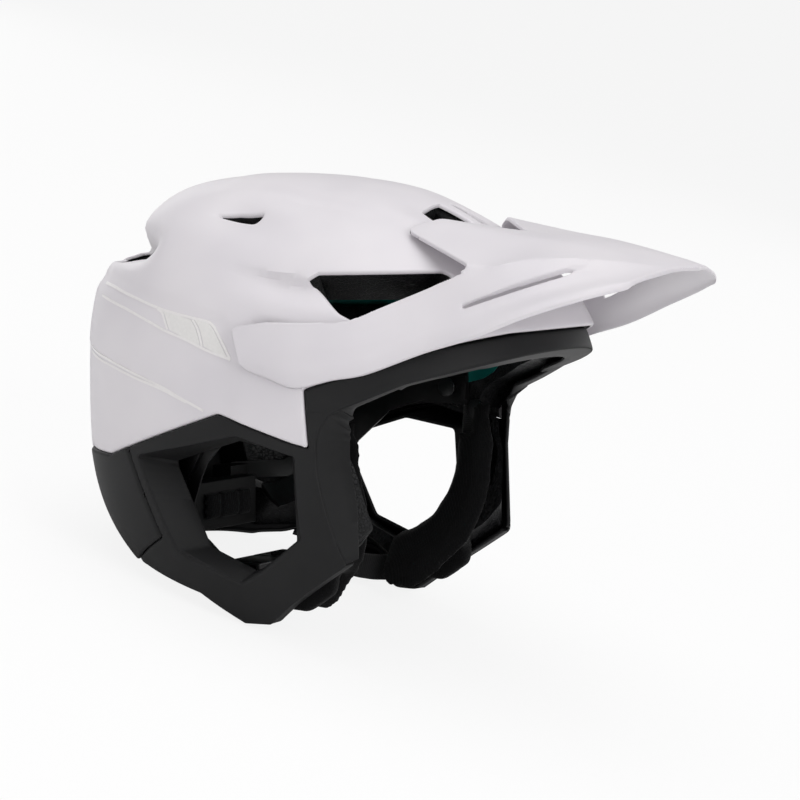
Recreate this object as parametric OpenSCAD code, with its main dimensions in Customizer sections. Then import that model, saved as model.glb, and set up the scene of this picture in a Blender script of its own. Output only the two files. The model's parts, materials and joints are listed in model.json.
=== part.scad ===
// Mountain bike helmet with deep ear guards, a long visor and a hanging fit cradle.
// Everything is drawn in the pose of the photograph, X forward and Y to the wearer's left,
// and each node is then leaned back so that the helmet stands on its rear rim and cheeks.

/* [Size] */
// half width of the helmet over the outer skin
half_width = 106; // [98:1:114]
// reach of the skin forward of the form centre
front_reach = 128; // [118:1:138]
// reach of the skin behind the form centre
rear_reach = 141; // [130:1:150]
// height of the crown above the form centre
crown_rise = 109; // [100:1:118]
// how far the crown leans down toward the front
crown_lean = 0.09; // [0.04:0.01:0.14]

/* [Shell] */
// wall of the hard outer skins
skin = 2.2; // [1.8:0.1:3]
// gap left between neighbouring layers
layer_gap = 0.5; // [0.4:0.1:1]
// foam thickness at the temples
foam_side = 19.5; // [16:0.5:24]
// extra foam at front, crown and rear
foam_extra = 7; // [4:0.5:12]
// depth of the groove behind the crown
notch_depth = 11; // [6:1:14]
// how deep the rims of the openings turn inward
rim_depth = 17; // [12:1:19]

/* [Visor] */
// wall of the visor
visor_wall = 2.6; // [2:0.1:3.4]
// radius of the visor pivot screw
pivot_radius = 4; // [3:0.5:5]
// forward place of the visor pivot
pivot_x = -3; // [-8:1:2]
// height of the visor pivot
pivot_z = 29; // [24:1:34]

/* [Fit] */
// radius of the dial knob
dial_radius = 14; // [11:1:16]
// pitch radius of the dial pinion
pinion_radius = 5; // [4:0.5:6]
// height of the dial axis
dial_z = -60; // [-64:1:-56]
// radius of the temple pins
temple_pin_radius = 2.5; // [2:0.25:3.5]
// width of the strap webbing
web_width = 20; // [16:1:24]

/* [Pose] */
// lean that sets the helmet on its rear rim and cheeks
stand_tilt = 18; // [14:0.5:22]

/* [Hidden] */
cx = -26;
cz = 6;
under_side = 160;
under_rear = 118;
stand_x = 16.0;
stand_z = 119.2;
temple_x = -12;
temple_z = 2;
tether_az = [60, 160, 200, 300];
pitch = PI * pinion_radius / 5;
rack_x = -115.8;
foam_out = skin + layer_gap;
foam_in = foam_out + foam_side;
liner_out = foam_in + 2;
liner_in = liner_out + 1;
arm_out = foam_in + 2.2;
arm_in = arm_out + 1.8;
belt_out = arm_in + 0.6;
belt_in = belt_out + 1.4;

// Side outlines, each a list of X and Z in the photograph's pose.
white_edge = [[-200, -25], [-122, -27], [-45, -2], [-2, -15], [7, -17], [5, 12],
    [28, 21], [50, 28.4], [70, 34.2], [90, 39.6], [130, 44]];
guard_base = [[-200, -62], [-140, -79.6], [-128, -83], [-113, -83.5], [-66, -96], [-44, -111], [-30, -111],
    [-14, -99], [12, -82], [26, -73]];
column_edge = [[10, -140], [10, -74], [7, -12], [9, -5], [15, 1.5], [25, 6], [90, 8], [90, -140]];
brow_edge = [[26, -140], [26, 3], [36, 7], [53, 15], [70, 20], [86, 25], [100, 30], [240, 33],
    [240, -140]];
port_outer = [[-97, -26], [-34, -13], [-1, -22], [-2, -64], [-26, -82], [-39, -91], [-80, -73]];
port_inner = [[-78, -28], [-39, -17], [-8, -24], [-9, -63], [-30, -76], [-50, -79.5], [-71, -67.5]];
side_vent = [[1, 64], [3, 67], [57, 69], [62, 67], [31, 48], [25, 47], [20, 50]];
rear_seam = [[-103, -20], [-84, -67], [-116, -92]];

fine_az = [for (i = [0:35]) i * 10];
coarse_az = [for (i = [0:29]) i * 12];
crown_el = [-24, -8, 6, 17, 25, 28, 31, 38, 48, 60, 73];
low_el = [-64, -56, -47, -37, -26, -14, -2, 12];
brow_el = [-6, 2, 10, 18, 26];

function smooth(a, b, x) = let (t = min(1, max(0, (x - a) / (b - a)))) t * t * (3 - 2 * t);

// Distance from the form centre to the bare outer form along a direction.
function reach(dx, dy, dz) = let (
    level = sqrt(dx * dx + dy * dy) + 0.000001,
    back = -dx / level,
    a = dx > 0 ? front_reach : rear_reach,
    n = dx > 0 ? 2.2 : 2.7,
    m = 2.15 + 0.65 * smooth(-0.3, 0.9, back),
    low = under_side + (under_rear - under_side) * smooth(0.3, 1, back),
    c = dz > 0 ? crown_rise : low,
    h = pow(pow(abs(dx / a), n) + pow(abs(dy / half_width), n), m / n)
) pow(h + pow(abs(dz / c), m), -1 / m);

// Relief of the outer skin: a shelf and groove behind the crown, a raised spine and a full brow.
function relief(x, y, z) = let (
    back = smooth(-70, -125, x),
    step = smooth(66, 70, z) * back,
    groove = (smooth(66, 70, z) - smooth(72, 99, z)) * back,
    bulge = smooth(30, 80, x) * smooth(30, 46, z) * smooth(96, 60, z),
    spine = smooth(46, 36, abs(y)) * smooth(60, 90, z) * smooth(-150, -90, x)
) 1.5 * spine + 4.5 * bulge - 2 * step - notch_depth * groove;

// A point of the form, sunk by depth and by extra where the foam is thicker.
function skin_point(az, el, depth, extra, carved) = let (
    dx = cos(el) * cos(az),
    dy = cos(el) * sin(az),
    dz = sin(el),
    w = smooth(0.3, 0.95, sqrt(max(0, 1 - dy * dy))),
    r0 = reach(dx, dy, dz),
    raise = carved ? relief(cx + r0 * dx, r0 * dy, cz + r0 * dz) : 0,
    r = r0 + raise - depth - extra * w,
    x = cx + r * dx,
    z = cz + r * dz
) [x, r * dy, z - crown_lean * (x + 38) * smooth(-30, 110, z)];

// A closed dome between two depths, over a list of rising elevations.
module dome(outer, inner, extra_out, extra_in, az_list, rows, carved_out, carved_in) {
    na = len(az_list);
    ne = len(rows);
    n = na * ne + 1;
    outs = [for (e = rows) for (a = az_list) skin_point(a, e, outer, extra_out, carved_out)];
    ins = [for (e = rows) for (a = az_list) skin_point(a, e, inner, extra_in, carved_in)];
    points = concat(outs, [skin_point(0, 90, outer, extra_out, carved_out)],
        ins, [skin_point(0, 90, inner, extra_in, carved_in)]);
    faces = [for (i = [0:ne - 1]) for (j = [0:na - 1]) let (
        k = (j + 1) % na,
        a = i * na + j,
        b = i * na + k,
        c = i < ne - 1 ? (i + 1) * na + k : n - 1,
        d = i < ne - 1 ? (i + 1) * na + j : n - 1
    ) each i < ne - 1
        ? [[a, d, c], [a, c, b], [n + a, n + c, n + d], [n + a, n + b, n + c]]
        : [[a, d, b], [n + a, n + b, n + d]]];
    rim = [for (j = [0:na - 1]) let (k = (j + 1) % na)
        each [[j, k, n + k], [j, n + k, n + j]]];
    polyhedron(points, concat(faces, rim), convexity = 6);
}

// A closed belt between two depths, over a list of rising elevations.
module belt_layer(outer, inner, extra, rows, az_list = fine_az) {
    na = len(az_list);
    ne = len(rows);
    n = na * ne;
    outs = [for (e = rows) for (a = az_list) skin_point(a, e, outer, extra[0], false)];
    ins = [for (e = rows) for (a = az_list) skin_point(a, e, inner, extra[1], false)];
    faces = [for (i = [0:ne - 2]) for (j = [0:na - 1]) let (
        k = (j + 1) % na,
        a = i * na + j,
        b = i * na + k,
        c = (i + 1) * na + k,
        d = (i + 1) * na + j
    ) each [[a, d, c], [a, c, b], [n + a, n + c, n + d], [n + a, n + b, n + c]]];
    last = (ne - 1) * na;
    rims = [for (j = [0:na - 1]) let (k = (j + 1) % na)
        each [[j, k, n + k], [j, n + k, n + j],
            [last + j, n + last + k, last + k], [last + j, n + last + j, n + last + k]]];
    polyhedron(concat(outs, ins), concat(faces, rims), convexity = 6);
}

// Joins and cuts facetted layers as one mesh.
module meshed() {
    resize([0, 0, 0]) children();
}

// The prism over a side outline, from one Y to another.
module side_prism(points, y0, y1, grow = 0) {
    translate([0, y1, 0])
        rotate([90, 0, 0])
            linear_extrude(y1 - y0)
                offset(delta = grow)
                    polygon(points);
}

// The face opening, whose edges slant forward as they turn inward.
module face_cut(grow = 0) {
    side_prism(brow_edge, -150, 150, grow);
    for (s = [-1, 1])
        multmatrix([[1, -0.55 * s, 0, 56.6], [0, 1, 0, 0], [0, 0, 1, 0], [0, 0, 0, 1]])
            side_prism(column_edge, s > 0 ? 40 : -150, s > 0 ? 150 : -40, grow);
}

// The ear port of one side, narrowing inward behind its bevels.
module port_cut(side, grow = 0) {
    hull() {
        side_prism(port_outer, side * 104 - 8, side * 104 + 8, grow);
        side_prism(port_inner, side * 89 - 0.5, side * 89 + 0.5, grow);
    }
    side_prism(port_inner, side > 0 ? 40 : -89, side > 0 ? 89 : -40, grow);
}

// Everything above the lower edge of the white shell.
module above_white(grow = 0) {
    side_prism(concat(white_edge, [[130, 200], [-200, 200]]), -150, 150, grow);
}

// Everything above the lower edge of the guards.
module above_base(grow = 0) {
    side_prism(concat(guard_base, [[60, -73], [130, 0], [130, 200], [-200, 200]]), -150, 150, grow);
}

// The part of the lower rear closed by its own cover.
module behind_seam(grow = 0) {
    side_prism(concat(rear_seam, [[-116, -140], [-240, -140], [-240, -20]]), -150, 150, grow);
}

// The vents through the crown, shared by the shell and the foam.
module crown_vents(grow = 0) {
    for (s = [-1, 1]) {
        side_prism(side_vent, s > 0 ? 30 : -130, s > 0 ? 130 : -30, grow);
        translate([0, 0, 60])
            linear_extrude(80)
                offset(delta = grow)
                    polygon([[-72, 73.5 * s], [-56, 70 * s], [-40, 66 * s], [-36, 67.5 * s],
                        [-43, 75.5 * s], [-56, 75 * s]]);
        translate([0, 0, 60])
            linear_extrude(80)
                offset(delta = grow)
                    polygon([[27, 24 * s], [27, 5 * s], [46, 4 * s], [47, 9 * s], [36, 25 * s]]);
        hull() {
            translate([-122, 56 * s, 75])
                cube([44, 64, 5.2], center = true);
            translate([-84, 34 * s, 70])
                cube([6, 30, 9], center = true);
        }
    }
}

// The rubber plugs that tie the slip liner to the foam, thinner where they pass it.
module liner_plugs(grow, head) {
    for (a = tether_az)
        translate([cx, 0, cz + 2])
            rotate([0, 0, a])
                rotate([0, 76, 0])
                    translate([0, 0, 60]) {
                        cylinder(h = 66, r = 3 + grow, $fn = 12);
                        if (head > 0)
                            cylinder(h = 66, r = head, $fn = 12);
                    }
}

// Room for the dial and its housing to swing in the rear foam.
module dial_pocket() {
    translate([-172, -48, -100])
        cube([80, 96, 68]);
}

// The opening for the neck, which the foam stays out of.
module neck() {
    translate([-32, 0, -160])
        scale([1.35, 1, 1])
            cylinder(h = 110, r = 63.5, $fn = 40);
}

// Room for the lobe of a cheek pad below the guard.
module lobe_room() {
    side_prism([[-36, -86], [-12, -80], [2, -75], [10, -75], [10, -90], [2, -114], [-36, -114]], -74.2, 74.2);
}

// Leans a node back from the photograph's pose onto the table.
module stand() {
    translate([stand_x, 0, stand_z])
        rotate([0, -stand_tilt, 0])
            children();
}

module upper_shell() {
    color("#dcd8dd") stand() meshed() difference() {
        intersection() {
            dome(0, skin, 0, 0, fine_az, crown_el, true, true);
            above_white();
        }
        crown_vents();
    }
}

module brow_band() {
    color("#202021") stand() meshed() difference() {
        intersection() {
            union() {
                belt_layer(0.3, skin + 0.3, [0, 0], brow_el);
                intersection() {
                    belt_layer(0.3, rim_depth, [0, 0], brow_el);
                    face_cut(2.4);
                }
            }
            translate([0, -150, 0.1])
                cube([150, 300, 60]);
        }
        above_white(0.3);
        face_cut();
    }
}

module ear_guard(side) {
    difference() {
        intersection() {
            union() {
                belt_layer(0.3, skin + 0.3, [0, 0], low_el);
                intersection() {
                    belt_layer(0.3, rim_depth, [0, 0], low_el);
                    union() {
                        difference() {
                            face_cut(2.4);
                            cube([400, 164, 400], center = true);
                        }
                        port_cut(side, 2.2);
                    }
                }
            }
            above_base();
            translate([-150, side > 0 ? 0 : -150, -150])
                cube([300, 150, 149.9]);
        }
        above_white(0.3);
        behind_seam(0.3);
        face_cut();
        port_cut(side);
    }
}

module ear_guard_left() {
    color("#202021") stand() meshed() ear_guard(1);
}

module ear_guard_right() {
    color("#202021") stand() meshed() ear_guard(-1);
}

module rear_cover() {
    color("#202021") stand() meshed() difference() {
        intersection() {
            belt_layer(-0.3, skin, [0, 0], low_el);
            above_base();
            behind_seam();
        }
        above_white(0.3);
    }
}

module eps_dome() {
    color("#1b1c1e") stand() meshed() difference() {
        intersection() {
            dome(foam_out, foam_in, 0, foam_extra, fine_az, crown_el, true, false);
            above_white();
        }
        face_cut(2.9);
        crown_vents();
    }
}

module eps_ear(side) {
    difference() {
        intersection() {
            belt_layer(foam_out + 0.3, foam_in, [0, foam_extra], low_el);
            above_base(-2);
            translate([-200, side > 0 ? 0.3 : -150, -150])
                cube([300, 149.7, 300]);
        }
        above_white(0.5);
        face_cut(2.9);
        port_cut(side, 2.7);
        dial_pocket();
        neck();
        lobe_room();
    }
}

module eps_ear_left() {
    color("#1b1c1e") stand() meshed() eps_ear(1);
}

module eps_ear_right() {
    color("#1b1c1e") stand() meshed() eps_ear(-1);
}

// Half width of the form at a place on its side.
function side_y(x, z) = let (
    zo = z + crown_lean * (x + 38) * smooth(-30, 110, z),
    dx = x - cx,
    a = dx > 0 ? front_reach : rear_reach,
    n = dx > 0 ? 2.2 : 2.7,
    m = 2.25,
    k = pow(1 - pow(abs((zo - cz) / crown_rise), m), n / m) - pow(abs(dx / a), n)
) half_width * pow(k, 1 / n);

// A closed sheet from a grid of points and a second grid behind it.
module sheet(front, back) {
    nr = len(front);
    nc = len(front[0]);
    n = nr * nc;
    points = concat([for (r = front) each r], [for (r = back) each r]);
    faces = [for (i = [0:nr - 2]) for (j = [0:nc - 2]) let (
        a = i * nc + j,
        b = a + 1,
        c = a + nc + 1,
        d = a + nc
    ) each [[a, b, c], [a, c, d], [n + a, n + c, n + b], [n + a, n + d, n + c]]];
    ends = [for (j = [0:nc - 2]) let (a = j, e = (nr - 1) * nc + j)
        each [[a, n + a, n + a + 1], [a, n + a + 1, a + 1],
            [e, e + 1, n + e + 1], [e, n + e + 1, n + e]]];
    sides = [for (i = [0:nr - 2]) let (a = i * nc, e = i * nc + nc - 1)
        each [[a, a + nc, n + a + nc], [a, n + a + nc, n + a],
            [e, n + e, n + e + nc], [e, n + e + nc, e + nc]]];
    polyhedron(points, concat(faces, ends, sides), convexity = 6);
}

// Lower edge, fold and upper edge of one visor arm and cheek, from rear to front.
arm_rows = [
    [[-29, 22], [-33, 33], [-37, 43]],
    [[-14, 17.5], [-12, 33], [-16, 46]],
    [[2, 13], [4, 33], [6, 46]],
    [[20, 17], [24, 34], [26, 47]],
    [[36, 20.5], [42, 38], [44, 56]]
];
nose_rows = [
    [[65, 89, 27], [66, 84, 46], [62, 76, 64]],
    [[90, 82, 37.5], [90, 77.5, 52], [81, 70, 71.5]],
    [[115, 72, 48], [114, 66.5, 60], [110, 55, 76.5]],
    [[138, 62, 57], [140, 52, 66], [140, 38, 75.5]],
    [[156, 50, 63.5], [160, 40, 67.5], [165, 20, 71.5]]
];
top_rows = [
    [[32, 51, 90.5], [44, 36, 95.5], [75, 0, 88]],
    [[81, 70, 72.3], [84, 34, 88], [95, 0, 87.5]],
    [[110, 55, 76.8], [112, 28, 84], [118, 0, 84.5]],
    [[140, 38, 75.6], [142, 20, 78], [145, 0, 79]],
    [[165, 20, 71.6], [167, 10, 72], [170, 0, 72]]
];

module visor_side() {
    gap = 2.2;
    front = concat(
        [for (r = arm_rows) [for (p = r) [p[0], side_y(p[0], p[1]) + gap + visor_wall, p[1]]]],
        nose_rows);
    back = concat(
        [for (r = arm_rows) [for (p = r) [p[0], side_y(p[0], p[1]) + gap, p[1]]]],
        [for (i = [0:4]) [for (j = [0:2]) let (a = 12 + 10 * i + 6 * j)
            nose_rows[i][j] - visor_wall * [0, cos(a), sin(a)]]]);
    sheet(back, front);
}

module visor_top() {
    front = [for (r = top_rows) [for (p = r) p]];
    back = [for (r = top_rows) [for (p = r) p - [0, 0, visor_wall]]];
    sheet(back, front);
}

module visor() {
    color("#dcd8dd") stand() meshed() difference() {
        for (s = [0, 1])
            mirror([0, s, 0]) {
                visor_side();
                visor_top();
                translate([pivot_x, 105.1, pivot_z])
                    rotate([-90, 0, 0])
                        cylinder(h = 2, r = 6.5, $fn = 28);
            }
        for (s = [-1, 1])
            side_prism([[80, 49.6], [126, 64], [131, 67.6], [124, 66.8], [80, 52.2]],
                s > 0 ? 45 : -110, s > 0 ? 110 : -45);
        translate([pivot_x, 0, pivot_z])
            rotate([90, 0, 0])
                cylinder(h = 213.2, r = pivot_radius + 0.08, center = true, $fn = 28);
    }
}

module visor_screws() {
    color("#2a2a2b") stand()
        for (s = [-1, 1])
            translate([pivot_x, s * 96, pivot_z])
                rotate([-90 * s, 0, 0])
                    cylinder(h = 10.3, r = pivot_radius, $fn = 28);
}

module slip_liner() {
    color("#00645f") stand() meshed() difference() {
        intersection() {
            dome(liner_out, liner_in, foam_extra, foam_extra, coarse_az,
                [-8, 2, 13, 25, 37, 49, 61, 74], false, false);
            side_prism([[-200, 12], [-100, 12], [-60, 17], [4, 18], [12, 12], [26, 14], [36, 24],
                [60, 33], [100, 42], [130, 200], [-200, 200]], -150, 150);
        }
        side_prism([[2, 52], [40, 56], [34, 70], [4, 70]], -150, 150);
        for (x = [-92, -58, 12])
            translate([x, 0, 60])
                cylinder(h = 80, r = 13, $fn = 6);
        for (s = [-1, 1])
            translate([-34, 34 * s, 60])
                cylinder(h = 80, r = 14, $fn = 6);
        liner_plugs(3.3, 0);
    }
}

// A slice of padding lying on the liner, rounded by its shrinking rim.
module pad_slice(depth, thick, rows) {
    intersection() {
        belt_layer(depth, depth + thick, [foam_extra, foam_extra], rows, coarse_az);
        children();
    }
}

module brow_pad() {
    color("#26282a") stand() meshed()
        pad_slice(liner_in + 1.2, 7, [12, 18, 24, 31])
            side_prism([[24, 27], [60, 33], [110, 38], [110, 58], [60, 54], [30, 46]], -150, 150);
}

module crown_pad() {
    color("#26282a") stand() meshed() intersection() {
        dome(liner_in + 1.2, liner_in + 7.2, foam_extra, foam_extra, coarse_az, [50, 62, 75], false, false);
        translate([-36, 0, 50])
            linear_extrude(60)
                offset(r = 7, $fn = 16)
                    polygon([[-46, -9], [38, -9], [38, 9], [-46, 9]]);
    }
}

module side_pad(side) {
    pad_slice(liner_in + 1.2, 6, [8, 16, 24, 33, 42])
        side_prism([[-94, 20], [-20, 20], [-24, 30], [-36, 46], [-84, 46], [-94, 34]],
            side > 0 ? 30 : -150, side > 0 ? 150 : -30);
}

module side_pad_left() {
    color("#26282a") stand() meshed() side_pad(1);
}

module side_pad_right() {
    color("#26282a") stand() meshed() side_pad(-1);
}

module liner_tethers() {
    color("#141415") stand() meshed() union() {
        intersection() {
            liner_plugs(0, 0);
            dome(foam_in - 6, liner_in + 1.6, foam_extra, foam_extra, coarse_az, crown_el, false, false);
        }
        intersection() {
            liner_plugs(0, 8);
            dome(liner_in + 1.3, liner_in + 2.5, foam_extra, foam_extra, coarse_az, crown_el, false, false);
        }
    }
}

module cheek_pad(side) {
    intersection() {
        belt_layer(foam_in + 2.7, foam_in + 15, [foam_extra, foam_extra], low_el);
        side_prism([[-8, -20], [10, -24], [13, -50], [11, -66], [8.5, -76], [4, -82], [-9, -97],
            [-17, -103], [-34, -103], [-40, -100], [-40, -82], [-34, -78], [-14, -66], [-6, -46]],
            side > 0 ? 20 : -150, side > 0 ? 150 : -20);
    }
    for (lobe = [
        [65, 73.5, [[-34, -89], [-12, -83], [2, -78.5], [4, -81], [3, -93.5], [-12.8, -104],
            [-23.5, -102.3], [-34, -99]]],
        [54, 67, [[5.5, -76], [8.6, -76], [5, -81], [2.6, -84], [-0.5, -83.5], [4, -78]]]
    ])
        side_prism(lobe[2], side > 0 ? lobe[0] : -lobe[1], side > 0 ? lobe[1] : -lobe[0]);
}

module cheek_pad_left() {
    color("#1e1f21") stand() meshed() cheek_pad(1);
}

module cheek_pad_right() {
    color("#1e1f21") stand() meshed() cheek_pad(-1);
}

// Side outline of a cradle arm, from temple to nape.
arm_band = [[-3, 11], [-3, -7], [-30, -8], [-52, -11], [-70, -22], [-86, -42], [-104, -50],
    [-150, -50], [-150, -41], [-108, -41], [-94, -30], [-80, -14], [-60, 3], [-34, 10]];

// Side outline of a fit belt, which drops below the arm toward the dial.
belt_band = [[-3, 8], [-3, -5], [-30, -6], [-52, -13], [-70, -30], [-86, -56], [-104, -68],
    [-150, -68], [-150, -53], [-108, -53], [-94, -44], [-78, -20], [-58, -2], [-34, 6]];

module cradle_arm(side) {
    difference() {
        intersection() {
            belt_layer(arm_out, arm_in, [foam_extra, foam_extra], low_el);
            mirror([0, side > 0 ? 0 : 1, 0])
                side_prism(arm_band, 30.2, 150);
        }
        pin_holes();
    }
}

module cradle_arm_left() {
    color("#17181a") stand() meshed() cradle_arm(1);
}

module cradle_arm_right() {
    color("#17181a") stand() meshed() cradle_arm(-1);
}

module dial_housing() {
    color("#17181a") stand() difference() {
        union() {
            translate([-121, -30, dial_z - 13])
                cube([10.4, 60, 26]);
            for (y = [-34, 17])
                translate([-128.4, y, dial_z + 10.8])
                    cube([12, 17, 7.6]);
            translate([-126.6, 0, dial_z])
                rotate([0, 90, 0])
                    cylinder(h = 6, r = 8, $fn = 48);
        }
        translate([-118, -27, dial_z - 10.8])
            cube([12, 54, 21.6]);
        translate([-118, -60, dial_z + 4])
            cube([4.4, 120, 6.8]);
        translate([-118, -60, dial_z - 10.8])
            cube([4.4, 120, 6.8]);
        translate([-130, 0, dial_z])
            rotate([0, 90, 0])
                cylinder(h = 13, r = 3.08, $fn = 48);
    }
}

// Clearance holes for the temple pins.
module pin_holes() {
    translate([temple_x, 0, temple_z])
        rotate([90, 0, 0])
            cylinder(h = 220, r = temple_pin_radius + 0.2, center = true, $fn = 32);
}

module cradle_cover() {
    color("#17181a") stand()
        translate([-110.6, -30, dial_z - 13])
            cube([2, 60, 26]);
}

module cradle_pad() {
    color("#26282a") stand() meshed() hull() {
        translate([-108.6, -24, dial_z - 9])
            cube([0.2, 48, 18]);
        translate([-104.8, -20, dial_z - 6])
            cube([0.2, 40, 12]);
    }
}

// One fit belt: a band along the temple, a rack over or under the pinion.
module fit_belt(side) {
    z0 = side > 0 ? dial_z + pinion_radius : dial_z - pinion_radius;
    difference() {
        union() {
            intersection() {
                belt_layer(belt_out, belt_in, [foam_extra, foam_extra], low_el, fine_az);
                mirror([0, side > 0 ? 0 : 1, 0])
                    side_prism(belt_band, 40, 150);
            }
            translate([rack_x - 1.6, side > 0 ? -14 : -37, z0 + (side > 0 ? 0.6 : -5.2)])
                cube([3.2, 51, 4.6]);
            hull() {
                translate([rack_x, side * 36.9, z0 + side * 2.9])
                    cube([3.2, 0.2, 4.6], center = true);
                translate([side > 0 ? -112.5 : -103, side * 43, z0 + 1.2])
                    cube([3, 5, 3.6], center = true);
            }
            for (i = [-4:3])
                translate([rack_x, side * (i + 0.5) * pitch, z0])
                    cube([3.2, 1.1, 1.3], center = true);
        }
        pin_holes();
    }
}

module belt_left() {
    color("#101112") stand() meshed() fit_belt(1);
}

module belt_right() {
    color("#101112") stand() meshed() fit_belt(-1);
}

module dial_knob() {
    color("#0f1011") stand()
        translate([-142, 0, dial_z])
            rotate([0, 90, 0])
                difference() {
                    union() {
                        cylinder(h = 14.5, r = dial_radius - 1, $fn = 36);
                        for (i = [0:11])
                            rotate([0, 0, i * 30])
                                translate([dial_radius - 1.4, 0, 7.25])
                                    cube([2.8, 2.4, 13], center = true);
                    }
                    translate([0, 0, 1.5])
                        cylinder(h = 20, r = 3.05, $fn = 48);
                }
}

module dial_pinion() {
    color("#3a3b3d") stand()
        translate([-140, 0, dial_z])
            rotate([0, 90, 0]) {
                cylinder(h = 27, r = 3, $fn = 36);
                translate([0, 0, 22.4])
                    cylinder(h = 3.6, r = pinion_radius - 0.9, $fn = 36);
                for (i = [0:9])
                    rotate([0, 0, i * 36])
                        translate([pinion_radius - 0.4, 0, 24.2])
                            cube([1.4, 1.1, 3.6], center = true);
            }
}

module temple_pins() {
    color("#2a2a2b") stand()
        for (s = [-1, 1])
            translate([temple_x, s * 70.6, temple_z])
                rotate([-90 * s, 0, 0]) {
                    cylinder(h = 19, r = temple_pin_radius, $fn = 24);
                    cylinder(h = 1.2, r = 5, $fn = 28);
                }
}

// The twisting tail of a strap, from the cheek to the buckle.
module web_bit(t) {
    translate([-44.5 - 35.5 * t, 57 - 30.5 * t, -97.5 + 7 * t])
        rotate([-25 + 25 * t, 0, -56 + 56 * t])
            rotate([0, 85 - 85 * t, 0])
                cube([web_width - 6 + 2 * t, 0.8, 1.4], center = true);
}

module strap(side) {
    intersection() {
        belt_layer(foam_in + 0.6, foam_in + 1.9, [foam_extra, foam_extra], low_el);
        side_prism([[-7, -8], [8, -8], [9, -60], [3.5, -75], [-8, -89], [-23, -101], [-46, -104],
            [-46, -91], [-33, -87], [-16, -75.5], [-8, -61]],
            side > 0 ? 20 : -150, side > 0 ? 150 : -20);
    }
    mirror([0, side > 0 ? 0 : 1, 0])
        for (i = [0:6])
            hull() {
                web_bit(i / 7);
                web_bit((i + 1) / 7);
            }
}

module strap_left() {
    color("#151516") stand() meshed() strap(1);
}

module strap_right() {
    color("#151516") stand() meshed() strap(-1);
}

module strap_anchors() {
    color("#2a2a2b") stand()
        for (s = [-1, 1])
            translate([2, s * 78.6, -10])
                rotate([-90 * s, 0, 0]) {
                    cylinder(h = 10, r = 2.5, $fn = 28);
                    cylinder(h = 1.4, r = 5.5, $fn = 28);
                }
}

module buckle_socket() {
    color("#141516") stand() difference() {
        translate([-92, 0.3, -94])
            cube([24, 30, 7]);
        translate([-89, -1, -92.2])
            cube([18, 19, 3.6]);
        translate([-86.2, 5.8, -88.6])
            cube([12.4, 11, 3]);
        translate([-89, 24.5, -95])
            cube([18, 2.6, 9]);
        translate([-89, 24.5, -92])
            cube([18, 8, 3]);
    }
}

module buckle_tongue() {
    color("#141516") stand() difference() {
        union() {
            translate([-92, -30, -94])
                cube([24, 30, 7]);
            translate([-88.6, -1, -91.8])
                cube([17.2, 17, 2.8]);
        }
        translate([-89, -27.1, -95])
            cube([18, 2.6, 9]);
        translate([-89, -32.5, -92])
            cube([18, 8, 3]);
    }
}

module buckle_tab() {
    color("#2b2c2e") stand() {
        translate([-86, 9, -88.2])
            cube([12, 7.6, 2.2]);
        translate([-83, 11, -86.2])
            cube([6, 3, 1]);
    }
}

upper_shell();
brow_band();
ear_guard_left();
ear_guard_right();
rear_cover();
eps_dome();
eps_ear_left();
eps_ear_right();
visor();
visor_screws();
slip_liner();
brow_pad();
crown_pad();
side_pad_left();
side_pad_right();
cheek_pad_left();
cheek_pad_right();
liner_tethers();
dial_housing();
cradle_arm_left();
cradle_arm_right();
cradle_cover();
cradle_pad();
belt_left();
belt_right();
dial_knob();
dial_pinion();
temple_pins();
strap_left();
strap_right();
strap_anchors();
buckle_socket();
buckle_tongue();
buckle_tab();
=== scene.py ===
import bpy, bmesh, json, math
import numpy as np
from mathutils import Matrix, Vector
from mathutils.geometry import delaunay_2d_cdt


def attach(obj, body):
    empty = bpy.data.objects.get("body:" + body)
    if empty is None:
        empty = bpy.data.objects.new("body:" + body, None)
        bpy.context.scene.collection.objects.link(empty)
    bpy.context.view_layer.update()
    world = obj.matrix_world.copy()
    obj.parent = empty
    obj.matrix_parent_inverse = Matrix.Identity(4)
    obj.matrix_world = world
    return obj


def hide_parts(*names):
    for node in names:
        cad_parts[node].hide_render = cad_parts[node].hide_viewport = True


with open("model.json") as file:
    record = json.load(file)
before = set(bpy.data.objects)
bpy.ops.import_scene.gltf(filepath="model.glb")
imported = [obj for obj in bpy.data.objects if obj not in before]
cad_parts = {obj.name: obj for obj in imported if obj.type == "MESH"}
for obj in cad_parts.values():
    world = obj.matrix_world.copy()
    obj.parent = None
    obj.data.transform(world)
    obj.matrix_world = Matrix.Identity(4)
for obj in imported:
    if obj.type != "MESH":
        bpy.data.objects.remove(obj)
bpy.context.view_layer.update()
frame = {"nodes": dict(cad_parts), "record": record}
print("frame loaded:", len(frame["nodes"]), "CAD nodes")

# The form of the helmet, in millimetres in the pose of the photograph. The CAD stands it
# on the table with one turn and one shift, which onTable() repeats.
form = {
    "centreX": -26, "centreZ": 6, "frontReach": 128, "rearReach": 141, "halfWidth": 106,
    "crownRise": 109, "underSide": 160, "underRear": 118, "crownLean": 0.09, "foamExtra": 7,
}
stand = {"tilt": math.radians(18), "x": 16.0, "z": 119.2}
sides = ((1, "left"), (-1, "right"))


def onTable(points):
    # Turns photo-pose millimetres into metres on the table.
    p = np.asarray(points, float).reshape(-1, 3)
    c, s = math.cos(stand["tilt"]), math.sin(stand["tilt"])
    x = p[:, 0] * c - p[:, 2] * s + stand["x"]
    z = p[:, 0] * s + p[:, 2] * c + stand["z"]
    return np.stack([x, p[:, 1], z], 1) / 1000


def smooth(a, b, x):
    t = np.clip((np.asarray(x, float) - a) / (b - a), 0, 1)
    return t * t * (3 - 2 * t)


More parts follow.
